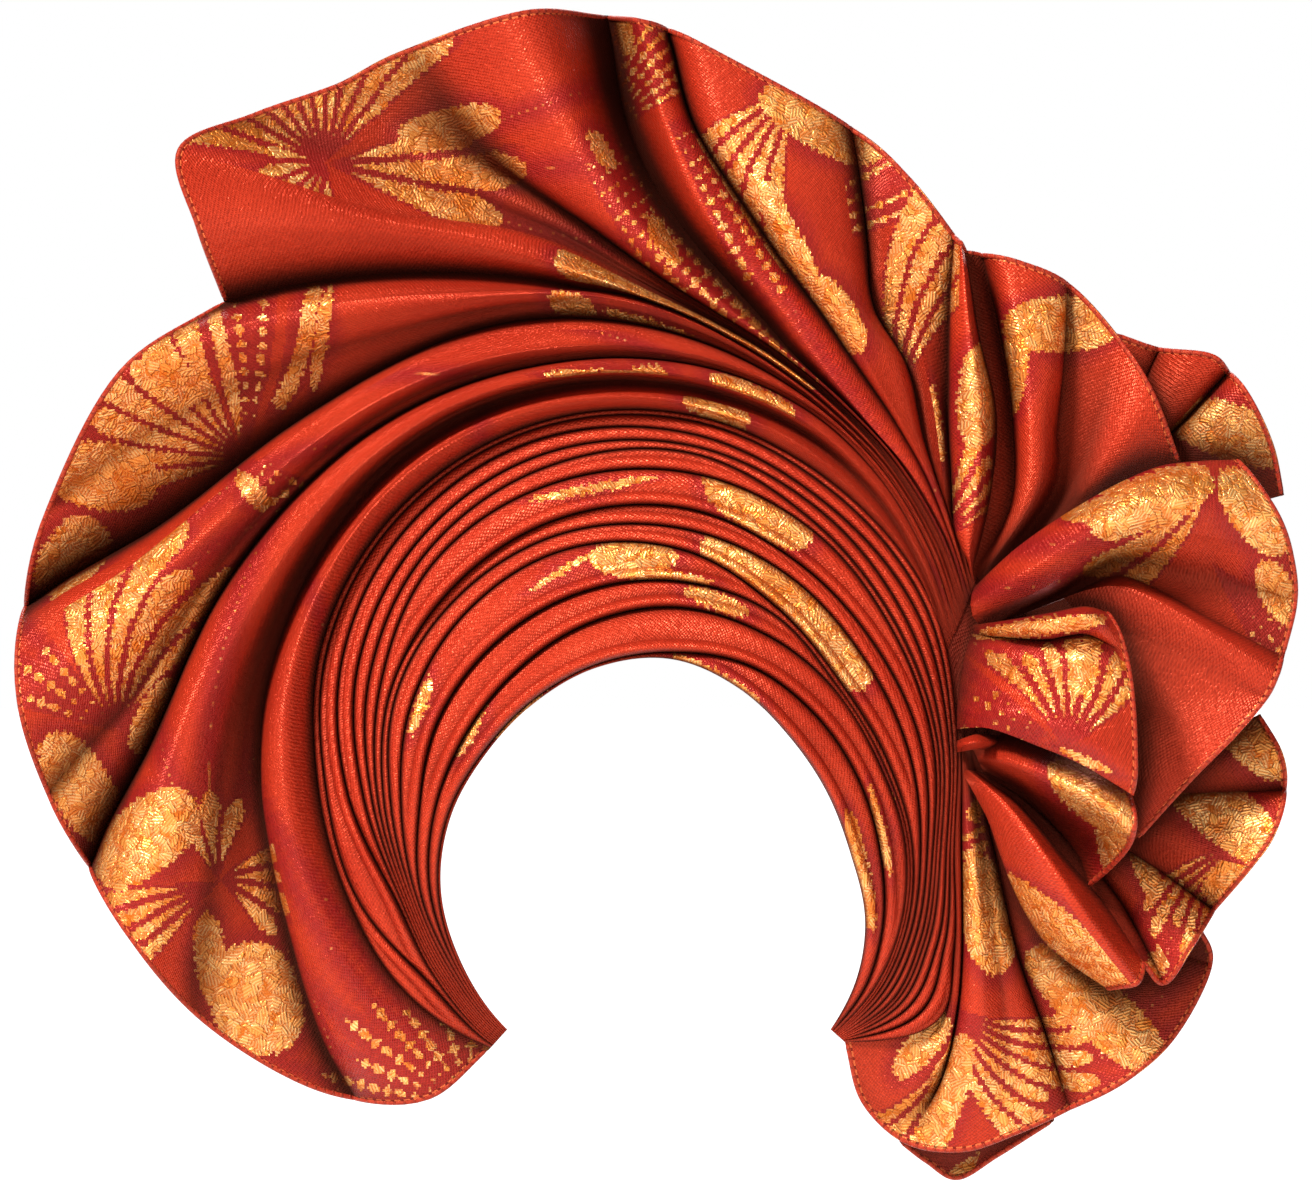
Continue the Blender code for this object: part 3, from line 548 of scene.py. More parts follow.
weave = {
    "plainRed": (0.45, 0.027, 0.010),
    "brightRed": (0.64, 0.054, 0.018),
    "ground": (0.33, 0.015, 0.014),      # the darker red between the leaves
    # gold tones: goldDeep is painted shade in the embossing's grooves and also a random darker tone; goldBright is a
    # painted glint on the hatching
    "goldDeep": (0.60, 0.125, 0.010),
    "gold": (0.90, 0.35, 0.068),
    "goldBright": (1.0, 0.70, 0.30),
    "thread": (0.66, 0.12, 0.036),       # sewing thread at the hem
    "threadGap": (0.10, 0.004, 0.003),
    # painted shade: deep in folds and behind other cloth the colour is multiplied towards this
    "paintedShadeColour": (0.07, 0.02, 0.015),     # what is left of the colour deep in a fold
    "inWeave": (0.66, 0.50, 0.48),       # and between the ribs
    "glow": (1.0, 0.40, 0.22),           # the colour of the satin's gloss
    "groundReach": 26.0,                 # how far from a leaf the ground changes, in steps
    "step": 0.0004186,                   # the motif tables count in steps of this many metres,
    "middleX": 652.0,                    # rightwards and downwards, with the head opening's middle
    "middleY": 872.0,                    # at this place
    "yarn": 2.6,                         # steps of the woven edge
    "wobble": 5.0,                       # steps by which the motifs wander
    "ribs": 900.0,                       # ribs of the red weave to a metre
    "twill": 620.0,                      # twill lines to a metre
    "scales": 240.0,                     # cells of the gold's embossing to a metre
    "hatch": 760.0,                      # ridges in a cell to a metre
    "stitchFrom": 0.0017,
    "stitchTo": 0.0025,
    "stitchPitch": 0.0042,
    "stitchShare": 0.62,
    "roughness": (0.31, 0.75),           # in the open and deep in a fold
    "metallic": (0.3, 0.62),             # of the red and of the gold
    "relief": 0.0005,
}


def brocade(name, leaves=(), patches=(), red=None):
    # Red satin with fine ribs and a faint embossing. Gold leaves and patches have stepped edges, and are embossed in
    # cells that are each hatched their own way: the pingpong of the place turned by the cell's own angle.
    material, tree, shader = newMaterial(name)
    place, uv = (wireFrom(tree, "TexCoord", output=which) for which in ("Object", "UV"))
    atX, atZ = split(place)[::2]
    alongHem, fromHem = split(uv)[:2]
    wobble = (noise(place, 70.0) - 0.5) * weave["wobble"]
    x = (atX / weave["step"] + weave["middleX"] + wobble).math("SNAP", weave["yarn"])
    y = (weave["middleY"] - atZ / weave["step"] + wobble).math("SNAP", weave["yarn"])
    fold, inside = attribute(tree, "fold"), None
    for group, labels, rows in ((goldLeaves, leafInputs, leaves), (goldPatches, patchInputs, patches)):
        for *values, first, last in rows:
            found = wireFrom(tree, "Group", zip(labels, (x, y, *values)), node_tree=group)
            beyond = (fold - (first + last) / 2).math("ABSOLUTE").math("GREATER_THAN", (last - first) / 2)
            found -= beyond * leafLook["outside"]
            inside = found if inside is None else inside.math("MAXIMUM", found)

    ribScale = (weave["ribs"] * 0.3, weave["ribs"], 1.0)
    ribs = noise(wireFrom(tree, "Mapping", (("Vector", uv), ("Scale", ribScale))), 1.0, 1.0)
    soft, grain = noise(place, 22.0), noise(place, 1500.0, 1.0)
    bent = mixColour(tree, 0.012, place, noise(place, 160.0, output=1), "ADD")
    cells = addNode(tree, "TexVoronoi", (("Vector", bent), ("Scale", weave["scales"]))).outputs
    ridge = ranged(Wire(tree, cells["Distance"]), 0.62, 0.40, smooth=True)
    along, inward, drift = alongHem * weave["twill"], fromHem * weave["twill"], ribs * 0.9
    twill = (along + inward + drift).math("PINGPONG", 0.5) + (along * 0.5 - inward + drift).math("PINGPONG", 0.5)

    ground = mixColour(tree, ranged(soft, 0.35, 0.65, 0.0, 0.35), red or weave["plainRed"], weave["brightRed"])
    if inside is not None:
        goldShare = ranged(inside, -0.3, 0.3)
        ground = mixColour(tree, ranged(inside, -weave["groundReach"], -0.5, smooth=True), ground, weave["ground"])
    dark = mixColour(tree, 1.0, ground, weave["inWeave"], "MULTIPLY")
    colour = mixColour(tree, ranged(ribs * 0.5 + twill * 0.5, 0.30, 0.66), dark, ground)
    relief = ribs * 0.4 + twill * 0.7 + (grain * 0.15 + ridge * 0.3)
    if inside is not None:
        tone = split(Wire(tree, cells["Color"]), "SeparateColor")
        angle = tone[0] * math.pi
        turned = atX * angle.math("COSINE") + atZ * angle.math("SINE")
        hatch = (turned * weave["hatch"]).math("PINGPONG", 0.5) * 2.0
        # painted shade: goldDeep at the cells' edges; painted glint: goldBright on the hatching, more in some cells
        # than in others
        gold = mixColour(tree, ridge * (hatch * 0.55 + 0.45), weave["goldDeep"], weave["gold"])
        gold = mixColour(tree, tone[1] * hatch * 0.75, gold, weave["goldBright"])
        gold = mixColour(tree, ranged(soft, 0.45, 0.70, 0.0, 0.7), gold, weave["goldDeep"])
        colour = mixColour(tree, goldShare, colour, gold)
        raised = ridge * 0.8 + (hatch * 0.55 + grain * 0.3)
        relief = relief * (1.0 - goldShare) + (raised + 0.4) * goldShare

    inLine = fromHem.math("GREATER_THAN", weave["stitchFrom"]) * fromHem.math("LESS_THAN", weave["stitchTo"])
    inStitch = (alongHem / weave["stitchPitch"]).math("FRACT").math("LESS_THAN", weave["stitchShare"])
    colour = mixColour(tree, inLine * 0.75, colour, weave["threadGap"])
    colour = mixColour(tree, inLine * inStitch, colour, weave["thread"])
    # painted shade: the baked attribute darkens the colour towards the shade colour, and roughens it
    paintedShade = attribute(tree, "paintedShade")
    deep = mixColour(tree, 1.0, colour, weave["paintedShadeColour"], "MULTIPLY")
    bump = (("Strength", 0.9), ("Distance", weave["relief"]), ("Height", relief - inLine * 0.8))
    plain, woven = weave["metallic"]
    for entry, value in (
        ("Base Color", mixColour(tree, paintedShade, colour, deep)),
        ("Normal", wireFrom(tree, "Bump", bump)),
        ("Roughness", ranged(paintedShade, 0, 1, *weave["roughness"])),
        ("Metallic", plain if inside is None else ranged(goldShare, 0, 1, plain, woven)),
        ("Specular IOR Level", 0.5),
        ("Specular Tint", weave["glow"]),
    ):
        plug(tree, shader[entry], value)
    return material


hemRoll = {
    "halfWide": 0.0011,
    "halfDeep": 0.0010,
    "red": (0.26, 0.014, 0.007),
    "mark": (0.10, 0.006, 0.006),
    "light": (0.55, 0.07, 0.025),
    "pitch": 0.0042,
}


def rolledHem():
    # a red roll with slanting thread marks: the pingpong of (length + 0.2 turn) over the pitch
    material, tree, shader = newMaterial("rolledHem")
    turn, length = split(wireFrom(tree, "TexCoord", output="UV"))[:2]
    mark = ((length + turn * 0.2) / hemRoll["pitch"]).math("PINGPONG", 0.5)
    mark = ranged(mark, 0.05, 0.18, 1.0, 0.0, smooth=True)
    grain = noise(wireFrom(tree, "TexCoord", output="Object"), 900.0)
    colour = mixColour(tree, mark * 0.6, hemRoll["red"], hemRoll["mark"])
    colour = mixColour(tree, ranged(grain, 0.4, 0.7, 0.0, 0.35), colour, hemRoll["light"])
    bump = (("Strength", 0.7), ("Distance", 0.0004), ("Height", grain - mark))
    for entry, value in (
        ("Base Color", colour),
        ("Normal", wireFrom(tree, "Bump", bump)),
        ("Roughness", 0.5),
        ("Specular Tint", weave["glow"]),
    ):
        plug(tree, shader[entry], value)
    return material


hemMaterial = rolledHem()
print("materials ready")

# the pleated band round the face
band = {
    "along": 270,
    "perPleat": 14,
    "rise": 0.0058,
    "width": 0.0085,            # a pleat of this width is rise high
    "roll": 0.0027,             # the half width of the tube on each pleat's inner side
    "tubeRows": 0.57,           # the share of the rows that make the tube
    "grooveHeight": 0.55,
    "grooveShade": 0.3,
    "angles": (-42, -28, -15, 5, 25, 45, 65, 85, 105, 125, 145, 165, 185, 205, 228),
    "lines": (
        ("rim", (4.3, 2.9, 1.1, -2.3, -3.5, -3.4, -1.8, -0.2, -0.5, -1.4, -1.7, -0.9, -0.3, -0.2, 0.6)),
        ("browFold", (4.7, 4.7, 3.8, 2.3, 1.8, 1.8, 2.0, 0.9, 0.0, -0.9, -1.2, -0.4, 0.1, 0.3, 0.9)),
        ("second", (5.1, 6.1, 6.4, 6.3, 5.7, 6.6, 7.4, 7.8, 6.3, 4.1, 2.5, 1.7, 1.4, 0.8, 1.2)),
        ("third", (5.3, 6.5, 6.8, 6.8, 6.3, 7.3, 10.7, 11.8, 11.2, 9.5, 7.2, 4.1, 2.9, 1.4, 1.5)),
        ("fourth", (5.5, 6.9, 7.3, 7.3, 7.1, 8.1, 12.0, 16.7, 18.2, 16.1, 12.1, 7.0, 3.8, 2.0, 1.8)),
        ("fifth", (5.7, 7.6, 8.1, 8.6, 10.6, 13.2, 17.0, 19.9, 20.7, 18.7, 14.9, 8.7, 4.4, 2.5, 2.1)),
        ("sixth", (5.9, 8.5, 9.0, 9.7, 12.8, 15.8, 19.6, 23.1, 23.1, 20.4, 16.0, 9.8, 4.9, 2.9, 2.4)),
        ("seventh", (6.1, 9.5, 9.9, 10.6, 14.7, 19.4, 25.0, 28.6, 28.5, 25.2, 17.9, 10.8, 5.4, 3.3, 2.7)),
        ("eighth", (6.3, 10.1, 10.6, 11.2, 15.5, 20.4, 26.2, 31.6, 31.2, 27.2, 20.0, 11.8, 5.9, 3.7, 3.0)),
        ("ninth", (6.5, 10.9, 11.3, 11.8, 16.3, 22.2, 28.2, 32.8, 33.3, 29.4, 22.3, 13.2, 6.4, 4.1, 3.3)),
        ("tenth", (6.7, 12.2, 12.6, 12.7, 17.4, 24.3, 29.7, 34.6, 35.7, 32.1, 25.1, 15.8, 7.3, 4.6, 3.6)),
        ("cheek", (6.9, 14.2, 13.8, 13.3, 18.1, 26.0, 31.8, 36.6, 37.4, 34.2, 27.9, 19.2, 12.9, 6.2, 3.9)),
        ("rollFoot", (7.3, 17.2, 15.4, 13.9, 18.9, 27.2, 32.9, 37.5, 38.2, 35.1, 29.0, 20.5, 14.3, 10.0, 4.5)),
    ),
    "patches": (
        (785, 610, 110, 34, -42, 1.0, 3.95, 5.0),
        (632, 556, 44, 18, 0, 1.5, 2.95, 4.0),
        (757, 508, 62, 24, -32, 1.4, 5.95, 7.0),
        (715, 600, 34, 9, -22, 1.6, 1.95, 3.0),
        (660, 575, 52, 7, -8, 1.8, 2.95, 3.5),
        (860, 870, 62, 9, -78, 1.2, 0, 1.2),
        (880, 830, 46, 5, -78, 1.3, 1.0, 2.5),
        (868, 768, 7, 6, 0, 1.0, 2, 3.2),
        (886, 796, 8, 6, 0, 1.0, 2, 3.2),
        (512, 712, 44, 9, 42, 1.5, 0, 0.9),
        (470, 722, 34, 8, 66, 1.3, 1.0, 2.0),
        (418, 705, 32, 6, 72, 1.7, 2.9, 4.0),
        (560, 655, 38, 3, 38, 2.0, 0.3, 1.0),
        (560, 570, 36, 3.5, 30, 2.0, 2.9, 4.0),
        (590, 487, 64, 4.5, 10, 2.0, 5.9, 7.0),
        (715, 678, 50, 8, -28, 1.6, 0, 0.8),
    ),
}


def bandGrid(settings):
    # Across one pleat, from its inner valley: a half round of the tube's width, a groove at grooveHeight, and a panel
    # that swells a little and slopes down to the next valley. A narrow pleat is one round. A last strip goes in
    # behind the fan's first fold.
    angles = np.linspace(shared["firstAngle"], shared["lastAngle"], settings["along"])
    lines = [valuesAt(settings["angles"], row[1], angles) for row in settings["lines"]]
    t = np.linspace(0, 1, settings["perPleat"] + 1)[:, None]
    s = np.clip(t / settings["tubeRows"], 0, 1)
    p = np.clip((t - settings["tubeRows"]) / (1 - settings["tubeRows"]), 0, 1)
    rows, creases = [], []
    for number, (inner, outer) in enumerate(zip(lines, lines[1:])):
        width = (outer - inner)[None, :] / 100 * (shared["fanReach"] - shared["openingRadius"])
        top = settings["rise"] * np.minimum(width / settings["width"], 1.4)
        tube = np.clip(2 * settings["roll"] / np.maximum(width, 1e-5), 0, 1)
        narrow = np.clip((tube - 0.62) / 0.3, 0, 1)
        tubeShare = tube * (1 - np.cos(s * math.pi)) / 2
        panelled = np.where(t < settings["tubeRows"], tubeShare, tube + (1 - tube) * np.sin(p * math.pi / 2)**0.8)
        share = panelled + narrow * ((1 - np.cos(t * math.pi)) / 2 - panelled)
        groove = settings["grooveHeight"]
        rolled = np.where(s < 0.5, np.sin(s * math.pi), groove + (1 - groove) * np.sin(s * math.pi))
        panel = groove * (1 - p**2.5) + 0.16 * np.sin(p * math.pi)
        height = np.where(t < settings["tubeRows"], rolled, panel)
        height = top * (height + narrow * (np.sin(t * math.pi) - height))
        part = polarPlaces(angles[None, :] + 0 * share, inner[None, :] + (outer - inner)[None, :] * share, height)
        toValley = np.minimum(share, 1 - share) * width
        # painted shade: a dark line along each valley, and a fainter one in the groove between tube and panel
        dark = np.exp(-(toValley / hollows["crease"])**2) * np.clip(width / 0.002, 0.3, 1)
        beside = np.exp(-((share - tube) * width / (0.8 * hollows["crease"]))**2) * (1 - narrow) * settings["grooveShade"]
        last = number == len(lines) - 2
        rows.append(part if last else part[:-1])
        creases.append(np.maximum(dark, beside) if last else np.maximum(dark, beside)[:-1])
    rows.append(polarPlaces(angles, lines[-1] + 0.6, 0 * angles - 0.0028)[None])
    creases.append(creases[-1][-1:])
    return np.concatenate(rows), np.concatenate(creases)


bandCloth, bandCreaseShade = bandGrid(band)
layCloth("pleatedBandCloth", ["pleated_band"], bandCloth, brocade("bandBrocade", (), band["patches"]),
         band["perPleat"], hemmed=False, crease=bandCreaseShade)

# the fan: three sections that share their border folds
gatherEnd = (42.3, 33.0)
leftFan = {
    "along": 200,
    "steps": 18,                # places along a fold line that are worked out, the rest are a smooth curve through them
    "perFold": 10,
    "creases": {"count": 9, "at": 0.35, "width": 0.3, "height": 0.0004, "seed": 0.7},
    "folds": (
        ("firstRollRidge", (75, 37.2), (112, 40.2), (147, 32.2), (186, 20.2), (226, 16.4), 0.55, 0.35),
        ("firstRollBack", (75, 39.2), (112, 42.3), (147, 34.9), (186, 24.5), (218, 25.4), 0.00, -0.15),
        ("lowFlare", (75, 39.8), (112, 43.1), (148, 36.4), (184, 29.6), (209, 32.6), 0.00, 0.10),
        ("secondRollFoot", (75, 40.3), (112, 43.8), (148, 37.8), (180, 34.7), (198, 41.0), 0.26, 0.25),
        ("secondRollRidge", (75, 41.3), (112, 45.0), (146, 41.2), (172, 42.6), (188, 47.8), 0.75, 0.75),
        ("secondRollBack", (75, 43.0), (112, 47.3), (142, 46.4), (164, 46.6), (180, 54.4), -0.05, -0.65),
        ("middleFlare", (74, 43.4), (111, 48.6), (139, 48.5), (160, 51.0), (173, 61.3), 0.30, 0.10),
        ("thirdRollRidge", (74, 43.9), (110, 50.6), (136, 52.5), (154, 59.0), (165, 68.2), 0.60, 0.75),
        ("thirdRollBack", (74, 44.6), (102, 54.0), (126, 55.2), (144, 59.5), (157.5, 72.6), -0.20, -0.75),
        ("highFlare", (73.5, 44.8), (96, 54.8), (117, 59.5), (134, 66.7), (149, 75.9), 0.20, 0.10),
        ("highFlareRidge", (73, 44.9), (92, 54.8), (108, 60.6), (121, 68.2), (137, 79.2), 0.55, 0.85),
        ("highFlareEdge", (72, 44.9), (88, 52.6), (101, 59.9), (113, 67.1), (127, 76.8), 0.05, 0.25),
    ),
    "leaves": (
        (238, 453, 160, 46, 7, 165, 0.05, 6, 5, 99, 0, 8.9, 12),
        (238, 453, 98, 9, 1, 165, -0.02, 8, 4, 7, 0, 8.9, 12),
        (238, 453, 78, 11, 2, 175, -0.06, 16, 4, 5.5, 7, 8.9, 12),
        (238, 453, 48, 9, 1, 190, -0.10, 60, 4, 8, 0, 8.9, 12),
        (238, 453, -42, 22, 3, 84, 0, 16, 4, 5, 6, 6.4, 9.0),
        (115, 733, 98, 36, 6, 205, 0.14, 8, 6, 99, 0, 5.8, 8.4),
        (115, 733, 145, 20, 3, 115, 0, 20, 6, 5.5, 6, 5.8, 9),
        (214, 881, 208, 24, 4, 118, 0, 10, 7, 99, 0, 2.5, 6.2),
        (214, 881, -2, 46, 4, 80, 0.1, 10, 7, 99, 0, 1.5, 6),
        (214, 881, 100, 30, 3, 85, 0.05, 10, 5, 99, 0, 2.5, 6.3),
        (467, 1106, 158, 24, 4, 140, 0.04, 12, 5, 6, 6, 0, 3),
        (467, 1106, 98, 36, 4, 105, 0, 10, 5, 6, 6, 0, 3),
    ),
    "patches": (
        (318, 335, 54, 6.5, 80, 1.2, 9, 12),
        (170, 372, 38, 18, 132, 1.0, 9, 12),
        (250, 490, 26, 10, -50, 1.0, 7, 9),
        (98, 474, 54, 34, -8, 1.0, 8.9, 12),
        (64, 556, 46, 30, 55, 1.0, 8.6, 12),
        (76, 790, 64, 30, -60, 1.0, 5.8, 9),
        (148, 716, 42, 17, 62, 1.0, 5.8, 8),
        (140, 838, 64, 36, 38, 1.0, 4, 6.6),
        (250, 1002, 58, 46, -75, 1.0, 1.9, 5),
        (205, 960, 46, 15, -85, 1.0, 1.9, 5),
        (716, 408, 36, 12, -20, 1.0, 0, 1.6),
        (752, 394, 48, 12, -25, 1.0, 4.5, 6.3),
        (650, 372, 18, 9, -10, 1.6, 4.5, 7),
        (570, 302, 24, 12, -20, 1.0, 9.5, 12),
        (650, 322, 52, 5, -18, 2.0, 9.5, 12),
        (600, 372, 60, 4, 0, 2.0, 4.5, 7),
    ),
}
crestFan = {
    "perFold": 12,
    "creases": {"count": 7, "at": 0.4, "width": 0.3, "height": 0.0004, "seed": 1.9},
    "folds": (
        ("crestRollRidge", (73, 46.1), (90, 55.0), (102, 64.0), (113, 74.3), (125.3, 88.1), 0.55, 1.05),
        ("crestRollBack", (73, 46.5), (89, 55.8), (100, 66.4), (113, 78.2), (123.3, 99.6), 0.10, 1.00),
        ("crestLeftPanel", (72.7, 46.7), (88.5, 56.1), (99, 67.2), (110, 81.2), (118, 98.9), 0.00, 0.30),
        ("crestPanelRidge", (72.4, 46.8), (88, 56.3), (98, 67.6), (107.5, 82.2), (112, 97.8), 0.00, 0.00),
        ("crestPanelBack", (72, 46.9), (87, 56.5), (96.5, 68.4), (104, 82.2), (107, 99.2), -0.10, 0.15),
        ("goldFoldRidge", (70.5, 46.4), (84, 56.0), (91.5, 67.2), (96, 82.0), (98.5, 100.8), 0.60, 0.65),
        ("deepValley", (68.5, 45.0), (80, 55.6), (87.7, 67.5), (91.8, 81.9), (93, 99.7), -0.45, -0.85),
    ),
    "leaves": (
        (322, 158, 110, 66, 11, 185, 0.02, 8, 6, 99, 0, 1.95, 7),
        (322, 158, -6, 24, 3, 188, -0.02, 20, 7, 99, 0, 1.95, 7),
        (322, 158, 222, 64, 6, 62, 0, 8, 6, 99, 0, 1.95, 7),
        (520, 60, -48, 12, 7, 420, 0, 120, 4, 8, 8, 5.2, 6.9),
    ),
    "patches": (
        (446, 121, 52, 19, 12, 1.0, 1.95, 7),
        (600, 146, 22, 9, -60, 1.2, 5, 7),
        (690, 315, 150, 30, -25, 0.8, 0.35, 1.8),
        (662, 236, 30, 10, -62, 1.5, 5.2, 6.8),
    ),
}
crestOverlap = {
    "perFold": 12,
    "creases": {"count": 8, "at": 0.35, "width": 0.3, "height": 0.0004, "seed": 3.1},
    "folds": (
        ("narrowRidge", (66.5, 45.2), (77.5, 56.2), (85, 67.8), (89, 82.1), (91, 98.2), 0.60, 0.65),
        ("thinValley", (63.8, 47.5), (73, 56.7), (80, 66.6), (86.5, 81.2), (89, 97.0), 0.05, 0.05),
        ("broadRidge", (60.8, 46.4), (69, 55.0), (74.6, 63.0), (80.8, 74.5), (85, 93.0), 0.70, 0.70),
        ("leafValley", (56, 43.6), (63, 54.1), (68.5, 60.5), (71.5, 71.2), (75, 85.8), 0.00, 0.05),
        ("leafPanel", (52, 40.6), (60, 52.8), (66, 63.6), (69.5, 72.7), (69.5, 80.9), 0.20, 0.45),
        ("endValley", (47.5, 36.0), (54.6, 46.4), (59, 55.9), (62.3, 66.0), (64.6, 75.6), -0.05, 0.30),
        ("endRidge", (45.6, 37.0), (51.0, 46.8), (56, 56.5), (60.4, 65.5), (63.9, 75.0), 0.55, 0.60),
        ("endEdge", (44.6, 38.0), (48.5, 46.4), (53, 55.6), (58.5, 64.0), (63.2, 74.4), -0.10, -0.15),
    ),
    "leaves": (
        (560, 150, 42, 16, 6, 175, 0, 66, 4, 4, 3, 0, 2),
        (640, 60, -58, 8, 3, 250, 0, 75, 4, 6, 7, 0.3, 2),
        (800, 85, 222, 30, 5, 190, -0.1, 14, 6, 99, 0, 1.6, 4),
        (500, 348, 22.4, 4.5, 4, 450, 0, 330, 6, 4, 3.5, 3.6, 6.6),
        (904, 395, 95, 22, 4, 215, 0.14, 10, 6, 99, 0, 4, 6.6),
        (930, 545, 50, 22, 4, 125, 0, 25, 7, 99, 0, 6, 8),
    ),
    "patches": (
        (622, 28, 22, 9, -75, 1.0, 0, 1.6),
        (822, 118, 68, 28, -28, 1.0, 2.3, 6),
        (786, 232, 64, 13, -62, 1.2, 2.2, 4.2),
        (838, 312, 44, 18, -58, 1.2, 2.2, 4.4),
        (982, 392, 52, 24, 85, 1.0, 6, 8),
        (938, 420, 40, 5, -82, 1.8, 5, 6.6),
    ),
}

fanAngles = np.linspace(shared["fanStartAngle"], shared["lastAngle"], leftFan["steps"])
rollFoot = polarPlaces(fanAngles, valuesAt(band["angles"], band["lines"][-1][1], fanAngles), 0 * fanAngles)
startPercent = float(valuesAt(band["angles"], band["lines"][-1][1], np.array([shared["fanStartAngle"]]))[0])
foldCount = len(leftFan["folds"]) + len(crestFan["folds"]) + len(crestOverlap["folds"])
roots = evenly([(shared["fanStartAngle"], startPercent), gatherEnd], foldCount + 1)[1:]
leftRows = fanRows(rollFoot, leftFan["folds"], roots)
crestRows = fanRows(leftRows[-1], crestFan["folds"], roots[len(leftFan["folds"]):])
overlapRows = fanRows(crestRows[-1], crestOverlap["folds"], roots[len(leftFan["folds"]) + len(crestFan["folds"]):])
for name, node, rows, settings, beside in (
    ("leftFanCloth", "left_fan", leftRows, leftFan, "pleated_band"),
    ("crestFanCloth", "crest_fan", crestRows, crestFan, "left_fan"),
    ("crestOverlapCloth", "crest_overlap", overlapRows, crestOverlap, "crest_fan"),
):
    grid = softCreases(clothBetween(rows, settings["perFold"], leftFan["along"]), settings["creases"])
    cloth = brocade(node + "Brocade", settings["leaves"], settings["patches"])
    layCloth(name, [node], grid, cloth, settings["perFold"])

# the lobe behind the end fold and the ruffle behind it
lobe = {
    "perFold": 14,
    "folds": (
        ("lobeValley", (0.03, 0.530), (0.15, 0.76), (0.15, 1.05), (0.11, 1.30), (0.06, 1.510), 0.00, -0.10, -0.10),
        ("lobeRollRidge", (0.05, 0.525), (0.21, 0.78), (0.22, 1.02), (0.20, 1.25), (0.17, 1.485), 0.00, 0.14, 0.10),
        ("lobeRollBack", (0.07, 0.515), (0.27, 0.79), (0.29, 0.99), (0.31, 1.20), (0.32, 1.420), 0.00, -0.06, -0.05),
        ("lobePanel", (0.09, 0.505), (0.31, 0.78), (0.39, 0.96), (0.44, 1.12), (0.46, 1.270), 0.00, -0.04, 0.02),
        ("lobeEndRidge", (0.11, 0.49), (0.36, 0.77), (0.46, 0.91), (0.53, 1.02), (0.57, 1.100), 0.00, 0.10, 0.12),
        ("lobeEdge", (0.13, 0.47), (0.39, 0.71), (0.50, 0.79), (0.59, 0.85), (0.66, 0.880), 0.00, 0.00, 0.02),
    ),
    "patches": (
        (1066, 320, 62, 28, 4, 1.0, 1, 6),
        (1012, 372, 46, 16, 80, 1.0, 1, 4),
    ),
}
backRuffle = {
    "perFold": 12,
    "folds": (
        ("tip", (0.11, 0.45), (0.34, 0.75), (0.45, 0.93), (0.53, 1.08), (0.60, 1.225), -0.03, -0.14, -0.12),
        ("upperRidge", (0.14, 0.43), (0.37, 0.73), (0.50, 0.90), (0.63, 1.06), (0.75, 1.205), -0.03, -0.13, 0.02),
        ("upperValley", (0.17, 0.41), (0.39, 0.70), (0.53, 0.87), (0.67, 1.00), (0.81, 1.155), -0.03, -0.20, -0.16),
        ("goldRidge", (0.20, 0.39), (0.42, 0.67), (0.57, 0.81), (0.72, 0.93), (0.87, 1.075), -0.03, -0.12, 0.06),
        ("lowerFlank", (0.23, 0.37), (0.45, 0.63), (0.62, 0.75), (0.79, 0.84), (0.94, 0.930), -0.03, -0.14, -0.02),
        ("ruffleEdge", (0.26, 0.35), (0.48, 0.59), (0.66, 0.69), (0.83, 0.74), (0.975, 0.780), -0.03, -0.16, -0.10),
    ),
    "patches": (
        (1232, 428, 66, 28, -20, 1.0, 2.6, 7),
    ),
}
lobeRows = keptInOrder([overlapRows[-1], *rosetteRows(lobe["folds"], leftFan["steps"])])
layCloth("rightLobeCloth", ["right_lobe"], clothBetween(lobeRows, lobe["perFold"], 130),
         brocade("lobeBrocade", (), lobe["patches"]), lobe["perFold"])
behindLobe = lobeRows[4] + np.array([0, 0.0021, 0])
ruffleRows = [behindLobe, *rosetteRows(backRuffle["folds"], leftFan["steps"])]
layCloth("backRuffleCloth", ["back_ruffle"], clothBetween(ruffleRows, backRuffle["perFold"], 100),
         brocade("backRuffleBrocade", (), backRuffle["patches"]),
         backRuffle["perFold"])

# the rosette
rosette = {"along": 100, "steps": 9, "perFold": 14}
topLoop = {
    "folds": (
        ("loopBack", (0.034, 0.500), (0.16, 0.62), (0.36, 0.755), (0.59, 0.865), (0.83, 0.885), 0.00, 0.30, 0.18),
        ("loopTop", (0.026, 0.480), (0.17, 0.60), (0.38, 0.735), (0.61, 0.835), (0.88, 0.820), 0.05, 0.50, 0.34),
        ("loopRidge", (0.022, 0.450), (0.20, 0.56), (0.41, 0.690), (0.64, 0.770), (0.95, 0.710), 0.10, 0.62, 0.34),
        ("loopFlank", (0.028, 0.415), (0.24, 0.50), (0.43, 0.620), (0.67, 0.660), (0.99, 0.600), 0.09, 0.52, 0.26),
        ("loopInside", (0.046, 0.392), (0.28, 0.48), (0.46, 0.580), (0.70, 0.540), (1.005, 0.460), 0.04, 0.28, 0.20),
        ("loopFoot", (0.085, 0.382), (0.31, 0.47), (0.48, 0.535), (0.72, 0.420), (0.965, 0.290), 0.00, 0.24, 0.24),
    ),
    "leaves": (
        (1217, 463, 228, 30, 5, 158, 0.12, 20, 6, 99, 0, 0, 5),
        (1212, 560, -48, 16, 4, 112, 0, 14, 8, 99, 4.5, 1.5, 5),
    ),
    "patches": (
        (1150, 500, 68, 27, 22, 1.0, 0, 4),
        (1256, 510, 52, 26, -52, 1.0, 0, 5),
        (1281, 592, 36, 18, -60, 1.0, 0, 5),
    ),
}
